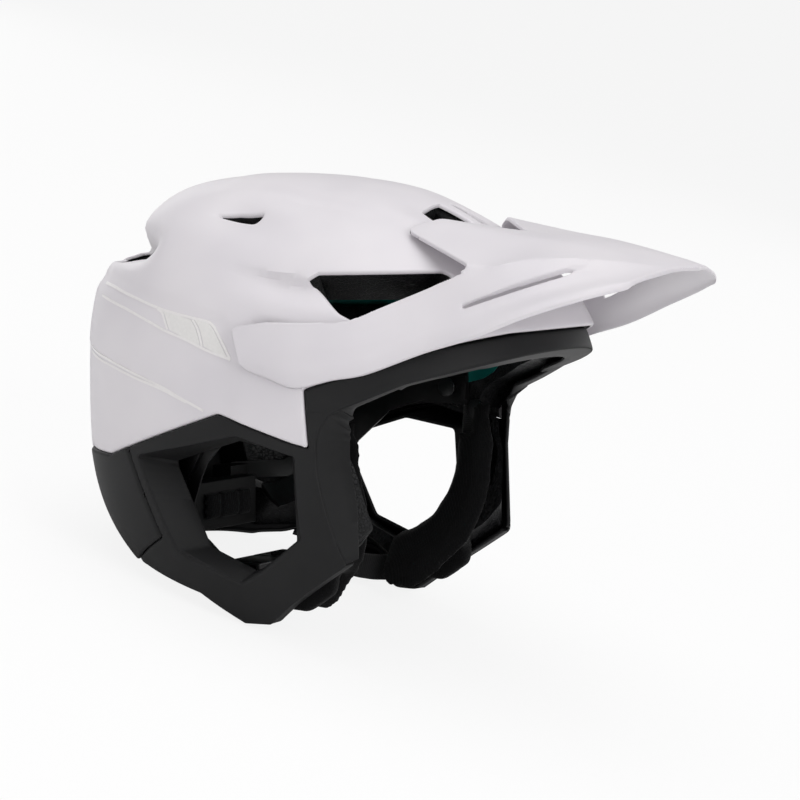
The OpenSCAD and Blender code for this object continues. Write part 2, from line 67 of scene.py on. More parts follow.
# Soft folds pressed into the skin. Each is a line in side view, how wide it fades above and below
# it and how deep it goes. One with no width below is a step, which runs on to the line's end.
folds = {
    "ventLedge": {"line": [(-60, 75.5), (-37, 71), (-14, 68.6), (2, 67.2), (60, 68)],
                  "above": 1.5, "below": 17, "depth": 4.2, "starts": (-52, -14)},
    "armLip": {"line": [(-36, 43), (-23, 47), (-1, 43.5), (27, 45)],
               "above": 1.4, "below": 6, "depth": 1.6, "starts": (-36, -22)},
    "shelf": {"line": [(-150, 60), (-129, 63), (-107, 59), (-85, 53), (-67, 50), (-45, 46), (-37, 40), (-30, 20)],
              "above": 0.8, "depth": 1.0},
    "lowLine": {"line": [(-160, 26), (-133, 22), (-98, 14.5), (-80, 10.5), (-58, 2), (-52, -1)],
                "above": 0.7, "depth": 0.5},
}


def foldDepth(x, y, z):
    # How far the folds sink the skin below the plain form.
    total = np.zeros_like(x)
    for fold in folds.values():
        line = np.array(fold["line"], float)
        start, end = line[0, 0], line[-1, 0]
        drop = np.interp(x, line[:, 0], line[:, 1]) - z
        shape = smooth(-fold["above"], fold["above"], drop)
        if "below" in fold:
            shape *= smooth(fold["below"], fold["above"], drop)
            shape *= smooth(*fold["starts"], x) * smooth(end, end - 14, x)
        else:
            shape *= smooth(end, end - 10, x)
        total += fold["depth"] * shape * ((x > start) & (x < end)) * smooth(30, 48, abs(y))
    return total


# Height, and how deep the valley behind the crown is there, in millimetres
notchProfile = np.array([(52, 0), (58, 1.6), (62, 2.2), (65, 3.2), (67, 4.4), (70, 7.8), (73, 10.6), (75.5, 13.8),
                         (77.5, 15.8), (79, 16.4), (80.8, 15.8), (82.4, 13.2), (83.8, 9.6), (85.4, 6.8), (88, 4.6),
                         (92, 2.8), (98, 1.2), (106, 0)])


def relief(x, y, z):
    # The shelf and groove behind the crown, the raised spine, the full brow and the vents' scoops.
    back = smooth(-88, -122, x)
    valley = np.interp(z, notchProfile[:, 0], notchProfile[:, 1]) * back
    brow = smooth(30, 80, x) * smooth(30, 46, z) * smooth(96, 60, z)
    spine = smooth(46, 36, abs(y)) * smooth(60, 90, z) * smooth(-150, -90, x)
    ridge = np.interp(x, [-90, -60, -30, 0, 20], [62, 57, 52.5, 50, 48])
    spineEdge = smooth(ridge + 1.5, ridge - 1.5, abs(y)) * smooth(60, 80, z)
    spineEdge *= smooth(-84, -70, x) * smooth(26, 0, x)
    scoop = np.exp(-(((x + 54) / 22) ** 2 + ((abs(y) - 71) / 8.5) ** 2)) * smooth(60, 80, z)
    front = np.exp(-(((x - 36) / 15) ** 2 + ((abs(y) - 23) / 10) ** 2)) * smooth(60, 80, z)
    return (0.9 * spine + 0.9 * spineEdge + 4.5 * brow - valley
            - 4.2 * scoop - 2.5 * front - foldDepth(x, y, z))


def skinPoint(az, el, depth=0.0, extra=0.0, carved=False):
    # A point of the form in degrees of azimuth and elevation, sunk by depth toward the centre.
    az, el = np.radians(az), np.radians(el)
    dx, dy, dz = np.cos(el) * np.cos(az), np.cos(el) * np.sin(az), np.sin(el)
    level = np.sqrt(dx * dx + dy * dy) + 1e-6
    back = -dx / level
    a = np.where(dx > 0, form["frontReach"], form["rearReach"])
    n = np.where(dx > 0, 2.2, 2.7)
    m = 2.15 + 0.65 * smooth(-0.3, 0.9, back)
    low = form["underSide"] + (form["underRear"] - form["underSide"]) * smooth(0.3, 1, back)
    c = np.where(dz > 0, form["crownRise"], low)
    h = (np.abs(dx / a) ** n + np.abs(dy / form["halfWidth"]) ** n) ** (m / n)
    r = (h + np.abs(dz / c) ** m) ** (-1 / m)
    w = smooth(0.3, 0.95, np.sqrt(np.maximum(0, 1 - dy * dy)))
    if carved:
        r = r + relief(form["centreX"] + r * dx, r * dy, form["centreZ"] + r * dz)
    r = r - depth - extra * w
    x, y, z = form["centreX"] + r * dx, r * dy, form["centreZ"] + r * dz
    return np.stack([x, y, z - form["crownLean"] * (x + 38) * smooth(-30, 110, z)], -1)


def inOutline(points, x, z):
    # Signed distance to a closed side outline, positive inside it.
    p = np.array(points, float)
    q = np.roll(p, -1, 0)
    best = np.full(np.shape(x), 1e9)
    inside = np.zeros(np.shape(x), bool)
    for (ax, az), (bx, bz) in zip(p, q):
        ex, ez = bx - ax, bz - az
        t = np.clip(((x - ax) * ex + (z - az) * ez) / (ex * ex + ez * ez), 0, 1)
        best = np.minimum(best, (x - ax - t * ex) ** 2 + (z - az - t * ez) ** 2)
        crosses = (az > z) != (bz > z)
        with np.errstate(divide="ignore", invalid="ignore"):
            inside ^= crosses & (x < ax + (z - az) * ex / (ez if ez else 1e-9))
    return np.where(inside, 1, -1) * np.sqrt(best)


def bothOf(a, b, soft=2.0):
    # The overlap of two regions, with its corners rounded by about soft millimetres.
    k = np.clip(0.5 - 0.5 * (b - a) / soft, 0, 1)
    return a + (b - a) * k - soft * k * (1 - k)


def meet(region, *others):
    # The overlap of a region with others, each with how much its corners are rounded.
    for other, soft in others:
        region = bothOf(region, other, soft)
    return region


def contourLoops(values, level):
    # Closed lines of one level on a grid that wraps along its second axis.
    rows, cols = values.shape
    v = values - level
    v = np.where(v == 0, 1e-9, v)
    flat = v.ravel()
    i, j = np.mgrid[0:rows - 1, 0:cols]
    a = (i * cols + j).ravel()
    b = (i * cols + (j + 1) % cols).ravel()
    c = ((i + 1) * cols + (j + 1) % cols).ravel()
    d = ((i + 1) * cols + j).ravel()
    links = {}
    for tri in (np.stack([a, b, c], 1), np.stack([a, c, d], 1)):
        s = flat[tri] > 0
        for t, g in zip(tri[(s.any(1)) & (~s.all(1))], s[(s.any(1)) & (~s.all(1))]):
            keys = [(min(t[k], t[k - 1]), max(t[k], t[k - 1])) for k in range(3) if g[k] != g[k - 1]]
            links.setdefault(keys[0], []).append(keys[1])
            links.setdefault(keys[1], []).append(keys[0])
    loops, used = [], set()
    for start in links:
        if start in used or len(links[start]) != 2:
            continue
        loop, prev, now = [], None, start
        while now not in used:
            used.add(now)
            loop.append(now)
            steps = [k for k in links[now] if k != prev]
            if not steps:
                break
            prev, now = now, steps[0]
        pts = []
        for p, q in loop:
            t = flat[p] / (flat[p] - flat[q])
            pi, pj, qi, qj = p // cols, p % cols, q // cols, q % cols
            if abs(pj - qj) > cols / 2:
                pj, qj = (pj + cols if pj < cols / 2 else pj), (qj + cols if qj < cols / 2 else qj)
            pts.append((pi + t * (qi - pi), pj + t * (qj - pj)))
        pts = np.array(pts)
        jump = np.round(np.diff(pts[:, 1]) / cols)
        pts[1:, 1] -= np.cumsum(jump) * cols
        loops.append(pts)
    return loops


class Patch:
    # A parametric surface cut to a region: surface(u, v, depth) in millimetres, region(u, v,
    # points) positive on the material, and a grid of u (wrapping) and v values.
    def __init__(self, surface, region, us, vs, flat):
        self.surface, self.region, self.us, self.vs, self.flat = surface, region, us, vs, flat
        uu, vv = np.meshgrid(us, vs)
        p = surface(uu, vv, 0.0)
        d = region(uu, vv, p)
        pu = (np.roll(p, -1, 1) - np.roll(p, 1, 1)) / 2
        du = (np.roll(d, -1, 1) - np.roll(d, 1, 1)) / 2
        pv, dv = np.gradient(p, axis=0), np.gradient(d, axis=0)
        e, f, g = (pu * pu).sum(-1), (pu * pv).sum(-1), (pv * pv).sum(-1)
        det = np.maximum(e * g - f * f, 1e-6)
        size = np.sqrt(np.maximum((g * du * du - 2 * f * du * dv + e * dv * dv) / det, 0))
        self.field = d / np.clip(size, 0.25, 4)

    def sample(self, iv, iu):
        # The normalised distance between grid points.
        rows, cols = self.field.shape
        i = np.clip(np.floor(iv).astype(int), 0, rows - 2)
        j = np.floor(iu).astype(int)
        s, t = np.clip(iv - i, 0, 1), iu - j
        f = self.field
        j0, j1 = j % cols, (j + 1) % cols
        return ((1 - s) * ((1 - t) * f[i, j0] + t * f[i, j1])
                + s * ((1 - t) * f[i + 1, j0] + t * f[i + 1, j1]))

    def uv(self, iv, iu):
        du = self.us[1] - self.us[0]
        return self.us[0] + iu * du, np.interp(iv, np.arange(len(self.vs)), self.vs)

    def loops(self, level, spacing):
        # Loops of one level, resampled to an even spacing on the surface.
        out = []
        for loop in contourLoops(self.field, level):
            if len(loop) < 8:
                continue
            u, v = self.uv(loop[:, 0], loop[:, 1])
            p = self.surface(u, v, 0.0)
            closed = np.vstack([p, p[:1]])
            gap = np.linalg.norm(np.diff(closed, axis=0), axis=1)
            turn = np.round((loop[0, 1] - loop[-1, 1]) / len(self.us)) * len(self.us)
            run = np.concatenate([[0], np.cumsum(gap)])
            if run[-1] < 6 * spacing:
                continue
            at = np.linspace(0, run[-1], max(12, int(run[-1] / spacing)) + 1)[:-1]
            iv = np.interp(at, run, np.append(loop[:, 0], loop[0, 0]))
            iu = np.interp(at, run, np.append(loop[:, 1], loop[0, 1] - turn))
            out.append(np.stack([iv, iu], 1))
        return out


longestEdge = 24.0  # millimetres, past which a triangle bridges a gap in its patch


def buildPatch(patch, lattice, spec):
    # Triangulates a patch and closes it as a solid with rolled edges.
    levels = spec.get("levels", (0.0, 0.25, 0.8, 1.7, 3.2))
    radius, spacing = spec["radius"], spec["edgeSpacing"]
    pts, dist, edges, rim = [], [], [], []
    for level in levels:
        for loop in patch.loops(level, spacing if level < 2 else spacing * 1.5):
            ring = list(range(len(pts), len(pts) + len(loop)))
            pts += [tuple(q) for q in loop]
            dist += [level] * len(loop)
            if level == levels[0]:
                edges += list(zip(ring, ring[1:] + ring[:1]))
                rim.append(ring)
    inner = lattice[patch.sample(lattice[:, 0], lattice[:, 1]) > levels[-1] + spec.get("gap", 1.6)]
    pts = np.vstack([np.array(pts), inner])
    dist = np.concatenate([dist, np.full(len(inner), 99.0)])
    u, v = patch.uv(pts[:, 0], pts[:, 1])
    flat = patch.flat(u, v)
    res = delaunay_2d_cdt([Vector(q) for q in flat], edges, [], 0, 1e-7)
    origin = [o[0] if o else -1 for o in res[3]]
    tris = [[origin[k] for k in face] for face in res[2]]
    tris = np.array([t for t in tris if min(t) >= 0 and len(set(t)) == 3])
    # a triangle stays if its centre lies on the material and no edge of it spans a gap
    corners = pts[tris]
    iu = corners[:, :, 1].copy()
    iu -= np.round((iu - iu[:, :1]) / len(patch.us)) * len(patch.us)
    reach = patch.sample(corners[:, :, 0].mean(1), iu.mean(1))
    allEdge = (dist[tris] == levels[0]).all(1)
    places = patch.surface(u, v, 0.0)[tris]
    longest = np.linalg.norm(places - np.roll(places, 1, 1), axis=-1).max(1)
    tris = tris[(reach > levels[0] - 0.02) & ~(allEdge & (reach < levels[0] + 0.01)) & (longest < longestEdge)]
    roll = radius - np.sqrt(np.maximum(0, radius ** 2 - (radius - np.minimum(dist, radius)) ** 2))
    top = patch.surface(u, v, spec["outer"] + roll)
    fullness, width = spec.get("pillow", (0.0, 1.0))
    thinning = fullness * (1 - smooth(0, width, patch.sample(pts[:, 0], pts[:, 1])))
    under = patch.surface(u, v, spec["inner"] - thinning)
    normal = np.cross(top[tris[:, 1]] - top[tris[:, 0]], top[tris[:, 2]] - top[tris[:, 0]])
    outward = ((top - under)[tris[:, 0]] * normal).sum(1)
    flip = outward < 0
    tris[flip] = tris[flip][:, ::-1]
    n = len(top)
    faces = [tuple(t) for t in tris] + [(t[2] + n, t[1] + n, t[0] + n) for t in tris]
    directed = {(t[k], t[(k + 1) % 3]): True for t in tris for k in range(3)}
    faces += [(b, a, a + n, b + n) for a, b in directed if (b, a) not in directed]
    loops = [(u[loop], v[loop]) for loop in rim]
    return np.vstack([top, under]), faces, loops


def editMesh(mesh, *steps):
    # Runs bmesh operators on a mesh, each given as a function of the open mesh.
    bm = bmesh.new()
    bm.from_mesh(mesh)
    for step in steps:
        step(bm)
    bm.to_mesh(mesh)
    bm.free()


def faceOut(bm):
    bmesh.ops.recalc_face_normals(bm, faces=bm.faces)


def addObject(name, mesh):
    obj = bpy.data.objects.new(name, mesh)
    bpy.context.scene.collection.objects.link(obj)
    return obj


def makeObject(name, points, faces, material, angle=38):
    # A mesh object at the origin, in metres on the table.
    mesh = bpy.data.meshes.new(name)
    used = sorted({k for f in faces for k in f})
    remap = {k: i for i, k in enumerate(used)}
    where = onTable(np.asarray(points)[used])
    mesh.from_pydata([tuple(q) for q in where], [], [tuple(remap[k] for k in f) for f in faces])
    mesh.validate()
    mesh.shade_smooth()
    mesh.set_sharp_from_angle(angle=math.radians(angle))
    mesh.materials.append(material)
    return addObject(name, mesh)


# What each piece that stands for a CAD node rides on

bodyOf = {node: body for body, nodes in frame["record"]["behaviour"]["bodies"].items() for node in nodes}


def standFor(piece, node):
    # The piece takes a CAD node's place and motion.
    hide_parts(node)
    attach(piece, bodyOf[node])


# Materials

def hexColour(text):
    # An sRGB hex value as linear red, green, blue and alpha.
    parts = [int(text[k:k + 2], 16) / 255 for k in (1, 3, 5)]
    return tuple(p / 12.92 if p <= 0.04045 else ((p + 0.055) / 1.055) ** 2.4 for p in parts) + (1.0,)


def addNode(tree, kind, settings=None, links=()):
    # A node with its settings, which are properties, inputs or a ramp's stops, and its incoming links.
    node = tree.nodes.new(kind)
    for name, value in (settings or {}).items():
        if name == "stops":
            for element, (position, colour) in zip(node.color_ramp.elements, value):
                element.position, element.color = position, hexColour(colour)
        elif isinstance(name, str) and name in node.bl_rna.properties.keys():
            setattr(node, name, value)
        else:
            node.inputs[name].default_value = value
    for socket, source in links:
        tree.links.new(source, node.inputs[socket])
    return node


def startMaterial(name, colour, settings, noises=()):
    # A material with a plain surface shader, object coordinates in metres and noise patterns on them,
    # each given by its scale per metre and its detail.
    material = bpy.data.materials.new(name)
    material.use_nodes = True
    tree = material.node_tree
    surface = tree.nodes["Principled BSDF"]
    surface.inputs["Base Color"].default_value = hexColour(colour)
    for socket, value in settings.items():
        surface.inputs[socket].default_value = value
    where = addNode(tree, "ShaderNodeTexCoord").outputs["Object"]
    material.diffuse_color = hexColour(colour)
    fields = [addNode(tree, "ShaderNodeTexNoise", {"Scale": scale, "Detail": detail}, [("Vector", where)])
              for scale, detail in noises]
    return material, tree, surface, where, [field.outputs["Fac"] for field in fields]


def finishSurface(tree, surface, tones, gloss, bumps):
    # Drives the colour, roughness and bump of a surface by patterns: tones are the pattern, a dark and a
    # light colour and their stops, gloss the pattern and two roughnesses, bumps the pattern, strength and depth.
    if tones:
        factor, dark, light, low, high = tones
        ramp = addNode(tree, "ShaderNodeValToRGB", {"stops": [(low, dark), (high, light)]}, [("Fac", factor)])
        tree.links.new(ramp.outputs["Color"], surface.inputs["Base Color"])
    if gloss:
        factor, low, high = gloss
        span = addNode(tree, "ShaderNodeMapRange", {"To Min": low, "To Max": high}, [("Value", factor)])
        tree.links.new(span.outputs["Result"], surface.inputs["Roughness"])
    height, strength, depth = bumps
    bump = addNode(tree, "ShaderNodeBump", {"Strength": strength, "Distance": depth}, [("Height", height)])
    tree.links.new(bump.outputs["Normal"], surface.inputs["Normal"])


paintSpec = {"base": "#DDD9DD", "shade": "#D7D3D8", "peel": 1.1, "roughness": (0.40, 0.47)}


def makePaint():
    # Soft touch paint sprayed on moulded polycarbonate: a broad dull sheen with a faint orange peel.
    material, tree, surface, _, (cloud, peel) = startMaterial(
        "softTouchPaintedPolycarbonate", paintSpec["base"], {"IOR": 1.5, "Specular IOR Level": 0.42},
        [(18.0, 2.0), (1000 / paintSpec["peel"], 1.0)])
    finishSurface(tree, surface, (cloud, paintSpec["shade"], paintSpec["base"], 0.35, 0.65),
                  (cloud, *paintSpec["roughness"]), (peel, 0.12, 0.00005))
    return material


filmSpec = {"base": "#E9E6E6", "roughness": (0.3, 0.36)}


def makeFilm(name, base, shade):
    # Screen printed vinyl film, a little lighter and glossier than the paint under it.
    material, tree, surface, _, (grain,) = startMaterial(name, base, {"IOR": 1.5}, [(600.0, 2.0)])
    finishSurface(tree, surface, (grain, shade, base, 0.3, 0.7), (grain, *filmSpec["roughness"]),
                  (grain, 0.08, 0.00003))
    return material


blackSpec = {"base": "#1c1c1d", "shade": "#181819", "grain": 0.55, "roughness": (0.5, 0.6)}


def makeBlackPlastic():
    # Polycarbonate moulded in a spark eroded tool: charcoal with a fine even grain of half a millimetre.
    material, tree, surface, _, (grain, cloud) = startMaterial(
        "sparkTexturedBlackPolycarbonate", blackSpec["base"], {"IOR": 1.5, "Specular IOR Level": 0.22},
        [(1000 / blackSpec["grain"], 3.0), (30.0, 2.0)])
    finishSurface(tree, surface, (cloud, blackSpec["shade"], blackSpec["base"], 0.35, 0.65),
                  (grain, *blackSpec["roughness"]), (grain, 0.25, 0.00008))
    return material


foamSpec = {"bead": "#1e1e20", "dark": "#0e0f10", "seam": "#060607", "size": 1.9}


def makeBeadFoam():
    # Expanded polystyrene: beads of about 2 mm pressed flat in the mould, with dark seams between.
    material, tree, surface, where, _ = startMaterial(
        "mouldedExpandedPolystyrene", foamSpec["bead"], {"IOR": 1.5, "Specular IOR Level": 0.3})
    scale = 1000 / foamSpec["size"]
    cells, beads = (addNode(tree, "ShaderNodeTexVoronoi", {"feature": kind, "Scale": scale}, [("Vector", where)])
                    for kind in ("DISTANCE_TO_EDGE", "F1"))
    tint = addNode(tree, "ShaderNodeSeparateColor", {}, [("Color", beads.outputs["Color"])]).outputs["Red"]
    body = addNode(tree, "ShaderNodeValToRGB", {"stops": [(0.2, foamSpec["dark"]), (0.95, foamSpec["bead"])]},
                   [("Fac", tint)])
    line = addNode(tree, "ShaderNodeMapRange", {"From Min": 0.0, "From Max": 0.09},
                   [("Value", cells.outputs["Distance"])])
    blend = addNode(tree, "ShaderNodeMix", {"data_type": "RGBA", 6: hexColour(foamSpec["seam"])},
                    [(0, line.outputs["Result"]), (7, body.outputs["Color"])])
    tree.links.new(blend.outputs[2], surface.inputs["Base Color"])
    finishSurface(tree, surface, None, (tint, 0.38, 0.62), (line.outputs["Result"], 0.55, 0.0006))
    return material


linerSpec = {"base": "#00665F", "shade": "#00544f", "roughness": (0.32, 0.4)}


def makeLinerSheet():
    # Thin thermoformed polycarbonate sheet with a low friction face, teal and a little glossy.
    material, tree, surface, _, (cloud, fine) = startMaterial(
        "thermoformedSlipSheet", linerSpec["base"], {"IOR": 1.55}, [(45.0, 3.0), (900.0, 2.0)])
    finishSurface(tree, surface, (cloud, linerSpec["shade"], linerSpec["base"], 0.3, 0.7),
                  (cloud, *linerSpec["roughness"]), (fine, 0.1, 0.00005))
    return material


knitSpec = {"yarn": "#141416", "gap": "#09090a", "loop": 1.3}


def makeKnit(name, yarn, gap, loop):
    # Warp knitted polyester over pad foam: a real loop is about 0.5 mm, drawn as coarse as it needs to show.
    material, tree, surface, where, _ = startMaterial(
        name, yarn, {"Roughness": 0.9, "Sheen Weight": 0.06, "Sheen Roughness": 0.4, "Specular IOR Level": 0.15})
    turned = addNode(tree, "ShaderNodeMapping", {"Rotation": (0.3, 0.5, 0.78)}, [("Vector", where)])
    course, wale, third = (addNode(tree, "ShaderNodeTexWave", {
        "wave_type": "BANDS", "bands_direction": axis, "Scale": 314 / loop, "Distortion": 0.4,
        "Detail": 0.0}, [("Vector", turned.outputs["Vector"])]).outputs["Fac"] for axis in "XYZ")
    both = addNode(tree, "ShaderNodeMath", {"operation": "MULTIPLY"}, [(0, course), (1, wale)])
    half = addNode(tree, "ShaderNodeMath", {"operation": "MULTIPLY", 1: 0.45}, [(0, third)])
    loops = addNode(tree, "ShaderNodeMath", {"operation": "MAXIMUM"}, [(0, both.outputs[0]), (1, half.outputs[0])])
    finishSurface(tree, surface, (loops.outputs[0], gap, yarn, 0.1, 0.7), None, (loops.outputs[0], 0.5, 0.0004))
    return material


webSpec = {"base": "#151517", "dark": "#09090a", "pick": 1.0, "end": 0.7}


def makeWebbing():
    # Woven polyester webbing, with ribs across its run every millimetre, read from its own UV map.
    material, tree, surface, _, _ = startMaterial(
        "wovenPolyesterWebbing", webSpec["base"],
        {"Roughness": 0.82, "Sheen Weight": 0.25, "Specular IOR Level": 0.3})
    uv = addNode(tree, "ShaderNodeUVMap", {"uv_map": "run"}).outputs["UV"]
    ribs, warp = (addNode(tree, "ShaderNodeTexWave", {
        "wave_type": "BANDS", "bands_direction": axis, "Scale": 314 / size}, [("Vector", uv)]).outputs["Fac"]
        for axis, size in (("X", webSpec["pick"]), ("Y", webSpec["end"])))
    both = addNode(tree, "ShaderNodeMath", {"operation": "MULTIPLY"}, [(0, ribs), (1, warp)]).outputs[0]
    finishSurface(tree, surface, (both, webSpec["dark"], webSpec["base"], 0.0, 0.7), None, (both, 0.6, 0.0003))
    return material


def makeMoulded(name, colour, dark, grain, rough, depth=0.00005, shine=0.3):
    # A moulded plastic or rubber, with the grain of its tool in millimetres.
    material, tree, surface, _, (fine, cloud) = startMaterial(
        name, colour, {"IOR": 1.5, "Specular IOR Level": shine}, [(1000 / grain, 2.0), (60.0, 2.0)])
    finishSurface(tree, surface, (cloud, dark, colour, 0.3, 0.7), (fine, *rough), (fine, 0.3, depth))
    return material


paint = makePaint()
film = makeFilm("screenPrintedVinylFilm", filmSpec["base"], "#E4E1E2")
filmPale = makeFilm("satinPrintedVinylFilm", "#E4E2E1", "#DFDDDC")
blackPlastic = makeBlackPlastic()
beadFoam = makeBeadFoam()
linerSheet = makeLinerSheet()
padKnit = makeKnit("warpKnittedPadCloth", knitSpec["yarn"], knitSpec["gap"], knitSpec["loop"])
# The cheek pads' cloth is a finer knit. It is also darker than the other pads' cloth, as painted shade for the deep
# shade in the face opening.
cheekKnitPaintedShade = makeKnit("brushedTricotCheekCloth", "#0f0f10", "#080809", 0.9)
webbing = makeWebbing()
mouldedNylon = makeMoulded("glassFilledNylon", "#0c0c0d", "#080809", 0.5, (0.42, 0.55))
springNylon = makeMoulded("flexibleNylonBelt", "#0f0f10", "#0a0a0b", 0.7, (0.35, 0.46))
softRubber = makeMoulded("overmouldedRubber", "#161617", "#101011", 0.35, (0.68, 0.8), 0.0001, 0.2)
bondedThread = makeMoulded("bondedNylonThread", "#232427", "#161719", 0.3, (0.5, 0.65))
acetal = makeMoulded("mouldedAcetal", "#161718", "#111213", 0.8, (0.26, 0.36), 0.00003, 0.45)
print("materials made")


# Side outlines of the pieces, in millimetres forward and up in the photograph's pose

outlines = {
    "white": [(-200, -25), (-122, -27), (-45, -2), (-2, -15), (7, -17), (5, 12), (28, 21), (50, 28.4),
              (70, 34.2), (90, 39.6), (130, 44), (130, 200), (-200, 200)],
    "base": [(-200, -62), (-140, -79.6), (-128, -83), (-113, -83.5), (-66, -96), (-44, -111), (-30, -111),
             (-14, -99), (12, -82), (26, -73), (60, -73), (130, 0), (130, 200), (-200, 200)],
    "column": [(11.4, -140), (11.4, -74), (10, -30), (11, -14), (13.2, -7), (17.5, -0.5), (23.5, 3), (90, 3.4),
               (90, -140)],
    "brow": [(22, -140), (22, 1), (26, 3.2), (36, 7.4), (53, 15), (70, 20), (86, 25), (100, 30), (240, 33),
             (240, -140)],
    "portOuter": [(-98, -26), (-34, -13), (-1, -22), (-2, -64), (-26, -81.5), (-40, -89), (-75.5, -74)],
    "portInner": [(-83.6, -28.9), (-44.6, -16.9), (-13.6, -21.9), (-10.9, -66.4), (-30.6, -80.4), (-35.1, -82.2),
                  (-63.1, -71.4)],
    "sideVent": [(-2.6, 64.5), (2.5, 68.6), (57, 69.4), (62, 67), (34, 47), (25, 46.4), (18.6, 49.4)],
    "seam": [(-106.5, -20), (-94.6, -46.8), (-85.7, -67.2), (-117, -84), (-117, -140), (-240, -140), (-240, -20)],
    "rearTopVent": [(-68.5, 70.6), (-56.5, 66.6), (-42.5, 64.8), (-42.6, 67), (-44.5, 70.2), (-57, 70.4)],
    "frontTopVent": [(27, 24), (27, 5), (46, 4), (47, 9), (36, 25)],
    "lobe": [(-36, -86), (-12, -80), (2, -75), (10, -75), (10, -90), (2, -114), (-36, -114)],
}
faceSlant = {"share": 0.55, "shift": 56.6}
notchSlit = {"y": 52, "z": 73.9, "half": 17, "rise": 2.0}


def within(name, p, grow=0.0):
    # How far inside one of the outlines a point lies in side view.
    return inOutline(outlines[name], p[..., 0], p[..., 2]) + grow


def aboveWhite(p, grow=0.0):
    return within("white", p, grow)


def aboveBase(p, grow=0.0):
    return within("base", p, grow)


def inPort(p, grow=0.0):
    return within("portOuter", p, grow)


def inFace(p, grow=0.0):
    # Inside the face opening, whose column edges slant forward as they turn inward.
    shift = faceSlant["share"] * np.abs(p[..., 1]) - faceSlant["shift"]
    column = inOutline(outlines["column"], p[..., 0] + shift, p[..., 2])
    return np.maximum(column, within("brow", p)) + grow


def inCrownVents(p, grow=0.0):
    # Inside any of the vents of the crown, the same on both sides.
    x, y, z = p[..., 0], np.abs(p[..., 1]), p[..., 2]
    side = np.where(y > 25, inOutline(outlines["sideVent"], x, z), -50)
    rearTop = np.where(z > 60, inOutline(outlines["rearTopVent"], x, y), -50)
    frontTop = np.where(z > 60, inOutline(outlines["frontTopVent"], x, y), -50)
    slit = np.minimum(notchSlit["half"] - np.abs(y - notchSlit["y"]),
                      notchSlit["rise"] - np.abs(z - notchSlit["z"]))
    notch = np.where(x < -84, slit, -50)
    return np.maximum(np.maximum(side, rearTop), np.maximum(frontTop, notch)) + grow


gridStep = 0.75  # degrees
azGrid = np.arange(0, 360, gridStep)


def gridRows(low, high):
    # Elevations from low to high, with the pole itself where the grid reaches it.
    rows = np.arange(low, high, gridStep)
    return np.append(rows, high) if high == 90 else rows


def stereo(u, v):
    # Flattens directions without stretching, seen from below the form.
    rho = 2 * np.tan(np.radians(90 - np.asarray(v)) / 2)
    return np.stack([rho * np.cos(np.radians(u)), rho * np.sin(np.radians(u))], -1)


def domeLattice(vs, step, radius=118.0):
    # Staggered rows of points about step millimetres apart over the whole grid.
    rows = []
    for k, el in enumerate(np.arange(vs[0], 90, math.degrees(step * 0.87 / radius))):
        count = max(6, int(2 * math.pi * radius * math.cos(math.radians(el)) / step))
        az = (np.arange(count) + 0.5 * (k % 2)) * 360 / count
        iv = np.interp(el, vs, np.arange(len(vs)))
        rows.append(np.stack([np.full(count, iv), az / gridStep], 1))
    rows.append(np.array([[len(vs) - 1.0, 0.0]]))
    return np.vstack(rows)


# In millimetres, apart from slope and tuck, which are shares: how far the foam stays clear of the port's
# ring, how far it is pushed away there and at most, and forward behind the wall of the face opening.
fitSpec = {"clear": 2.5, "push": 8.2, "slope": 0.412, "most": 14.0, "forward": 15.0, "tuck": 0.12}


def fitFoam(p, share):
    # Pushes the inner face of the foam out of the port, and forward behind the wall of the face opening.
    ring = np.array(outlines["portOuter"]) * (1 - share) + np.array(outlines["portInner"]) * share
    x, z = p[..., 0], p[..., 2]
    gap = -inOutline(ring, x, z) - fitSpec["clear"]
    away = np.clip(fitSpec["push"] - fitSpec["slope"] * gap, 0, fitSpec["most"]) * share * smooth(-18, -34, z)
    h = 0.4
    slopeX = inOutline(ring, x + h, z) - inOutline(ring, x - h, z)
    slopeZ = inOutline(ring, x, z + h) - inOutline(ring, x, z - h)
    steep = np.maximum(np.hypot(slopeX, slopeZ), 1e-6)
    forward = fitSpec["forward"] * smooth(-15, -3, x) * share * smooth(-6, -16, z)
    y = p[..., 1] - np.sign(p[..., 1]) * fitSpec["tuck"] * forward
    return np.stack([x - away * slopeX / steep + forward, y, z - away * slopeZ / steep], -1)


def makeShell(name, region, spec, material, low=-76.0, high=90.0, carved=False, rim=None):
    # One shell of the helmet, cut to a region of the form and closed as a solid.
    vs = gridRows(low, high)
    outer, inset, extra = spec["outer"], spec.get("extraOut", 0.0), spec.get("extra", 0.0)

    def surface(u, v, depth):
        share = np.clip((np.asarray(depth, float) - outer) / (spec["inner"] - outer), 0, 1)
        relieved = skinPoint(u, v, depth, inset + (extra - inset) * share, carved)
        if spec.get("clearsNeck"):
            room = neckSpace(relieved) + neck["half"]
            push = np.where(relieved[..., 2] < neck["top"], np.maximum(neck["half"] / np.maximum(room, 1), 1), 1)
            relieved[..., 0] = (relieved[..., 0] - neck["x"]) * push + neck["x"]
            relieved[..., 1] *= push
            relieved = fitFoam(relieved, float(np.mean(share)))
        if not spec.get("plainInside"):
            return relieved
        plain = skinPoint(u, v, depth, inset + (extra - inset) * share, False)
        t = share[..., None] if np.ndim(share) else share  # a patch asks for one depth or for many
        return relieved * (1 - t) + plain * t

    patch = Patch(surface, lambda u, v, p: region(p), azGrid, vs, stereo)
    points, faces, loops = buildPatch(patch, domeLattice(vs, spec.get("step", 3.4)), spec)
    if rim:
        points, faces = rim(points, faces, loops, surface)
    obj = makeObject(name, points, faces, material, spec.get("angle", 38))
    print(name, len(faces), "faces")
    return obj


def gradientOf(function, p, h=0.4):
    # The direction in which a region's value grows, by small steps.
    g = np.stack([(function(p + step) - function(p - step)) / (2 * h) for step in np.eye(3) * h], -1)
    return g / np.maximum(np.linalg.norm(g, axis=-1, keepdims=True), 1e-6)


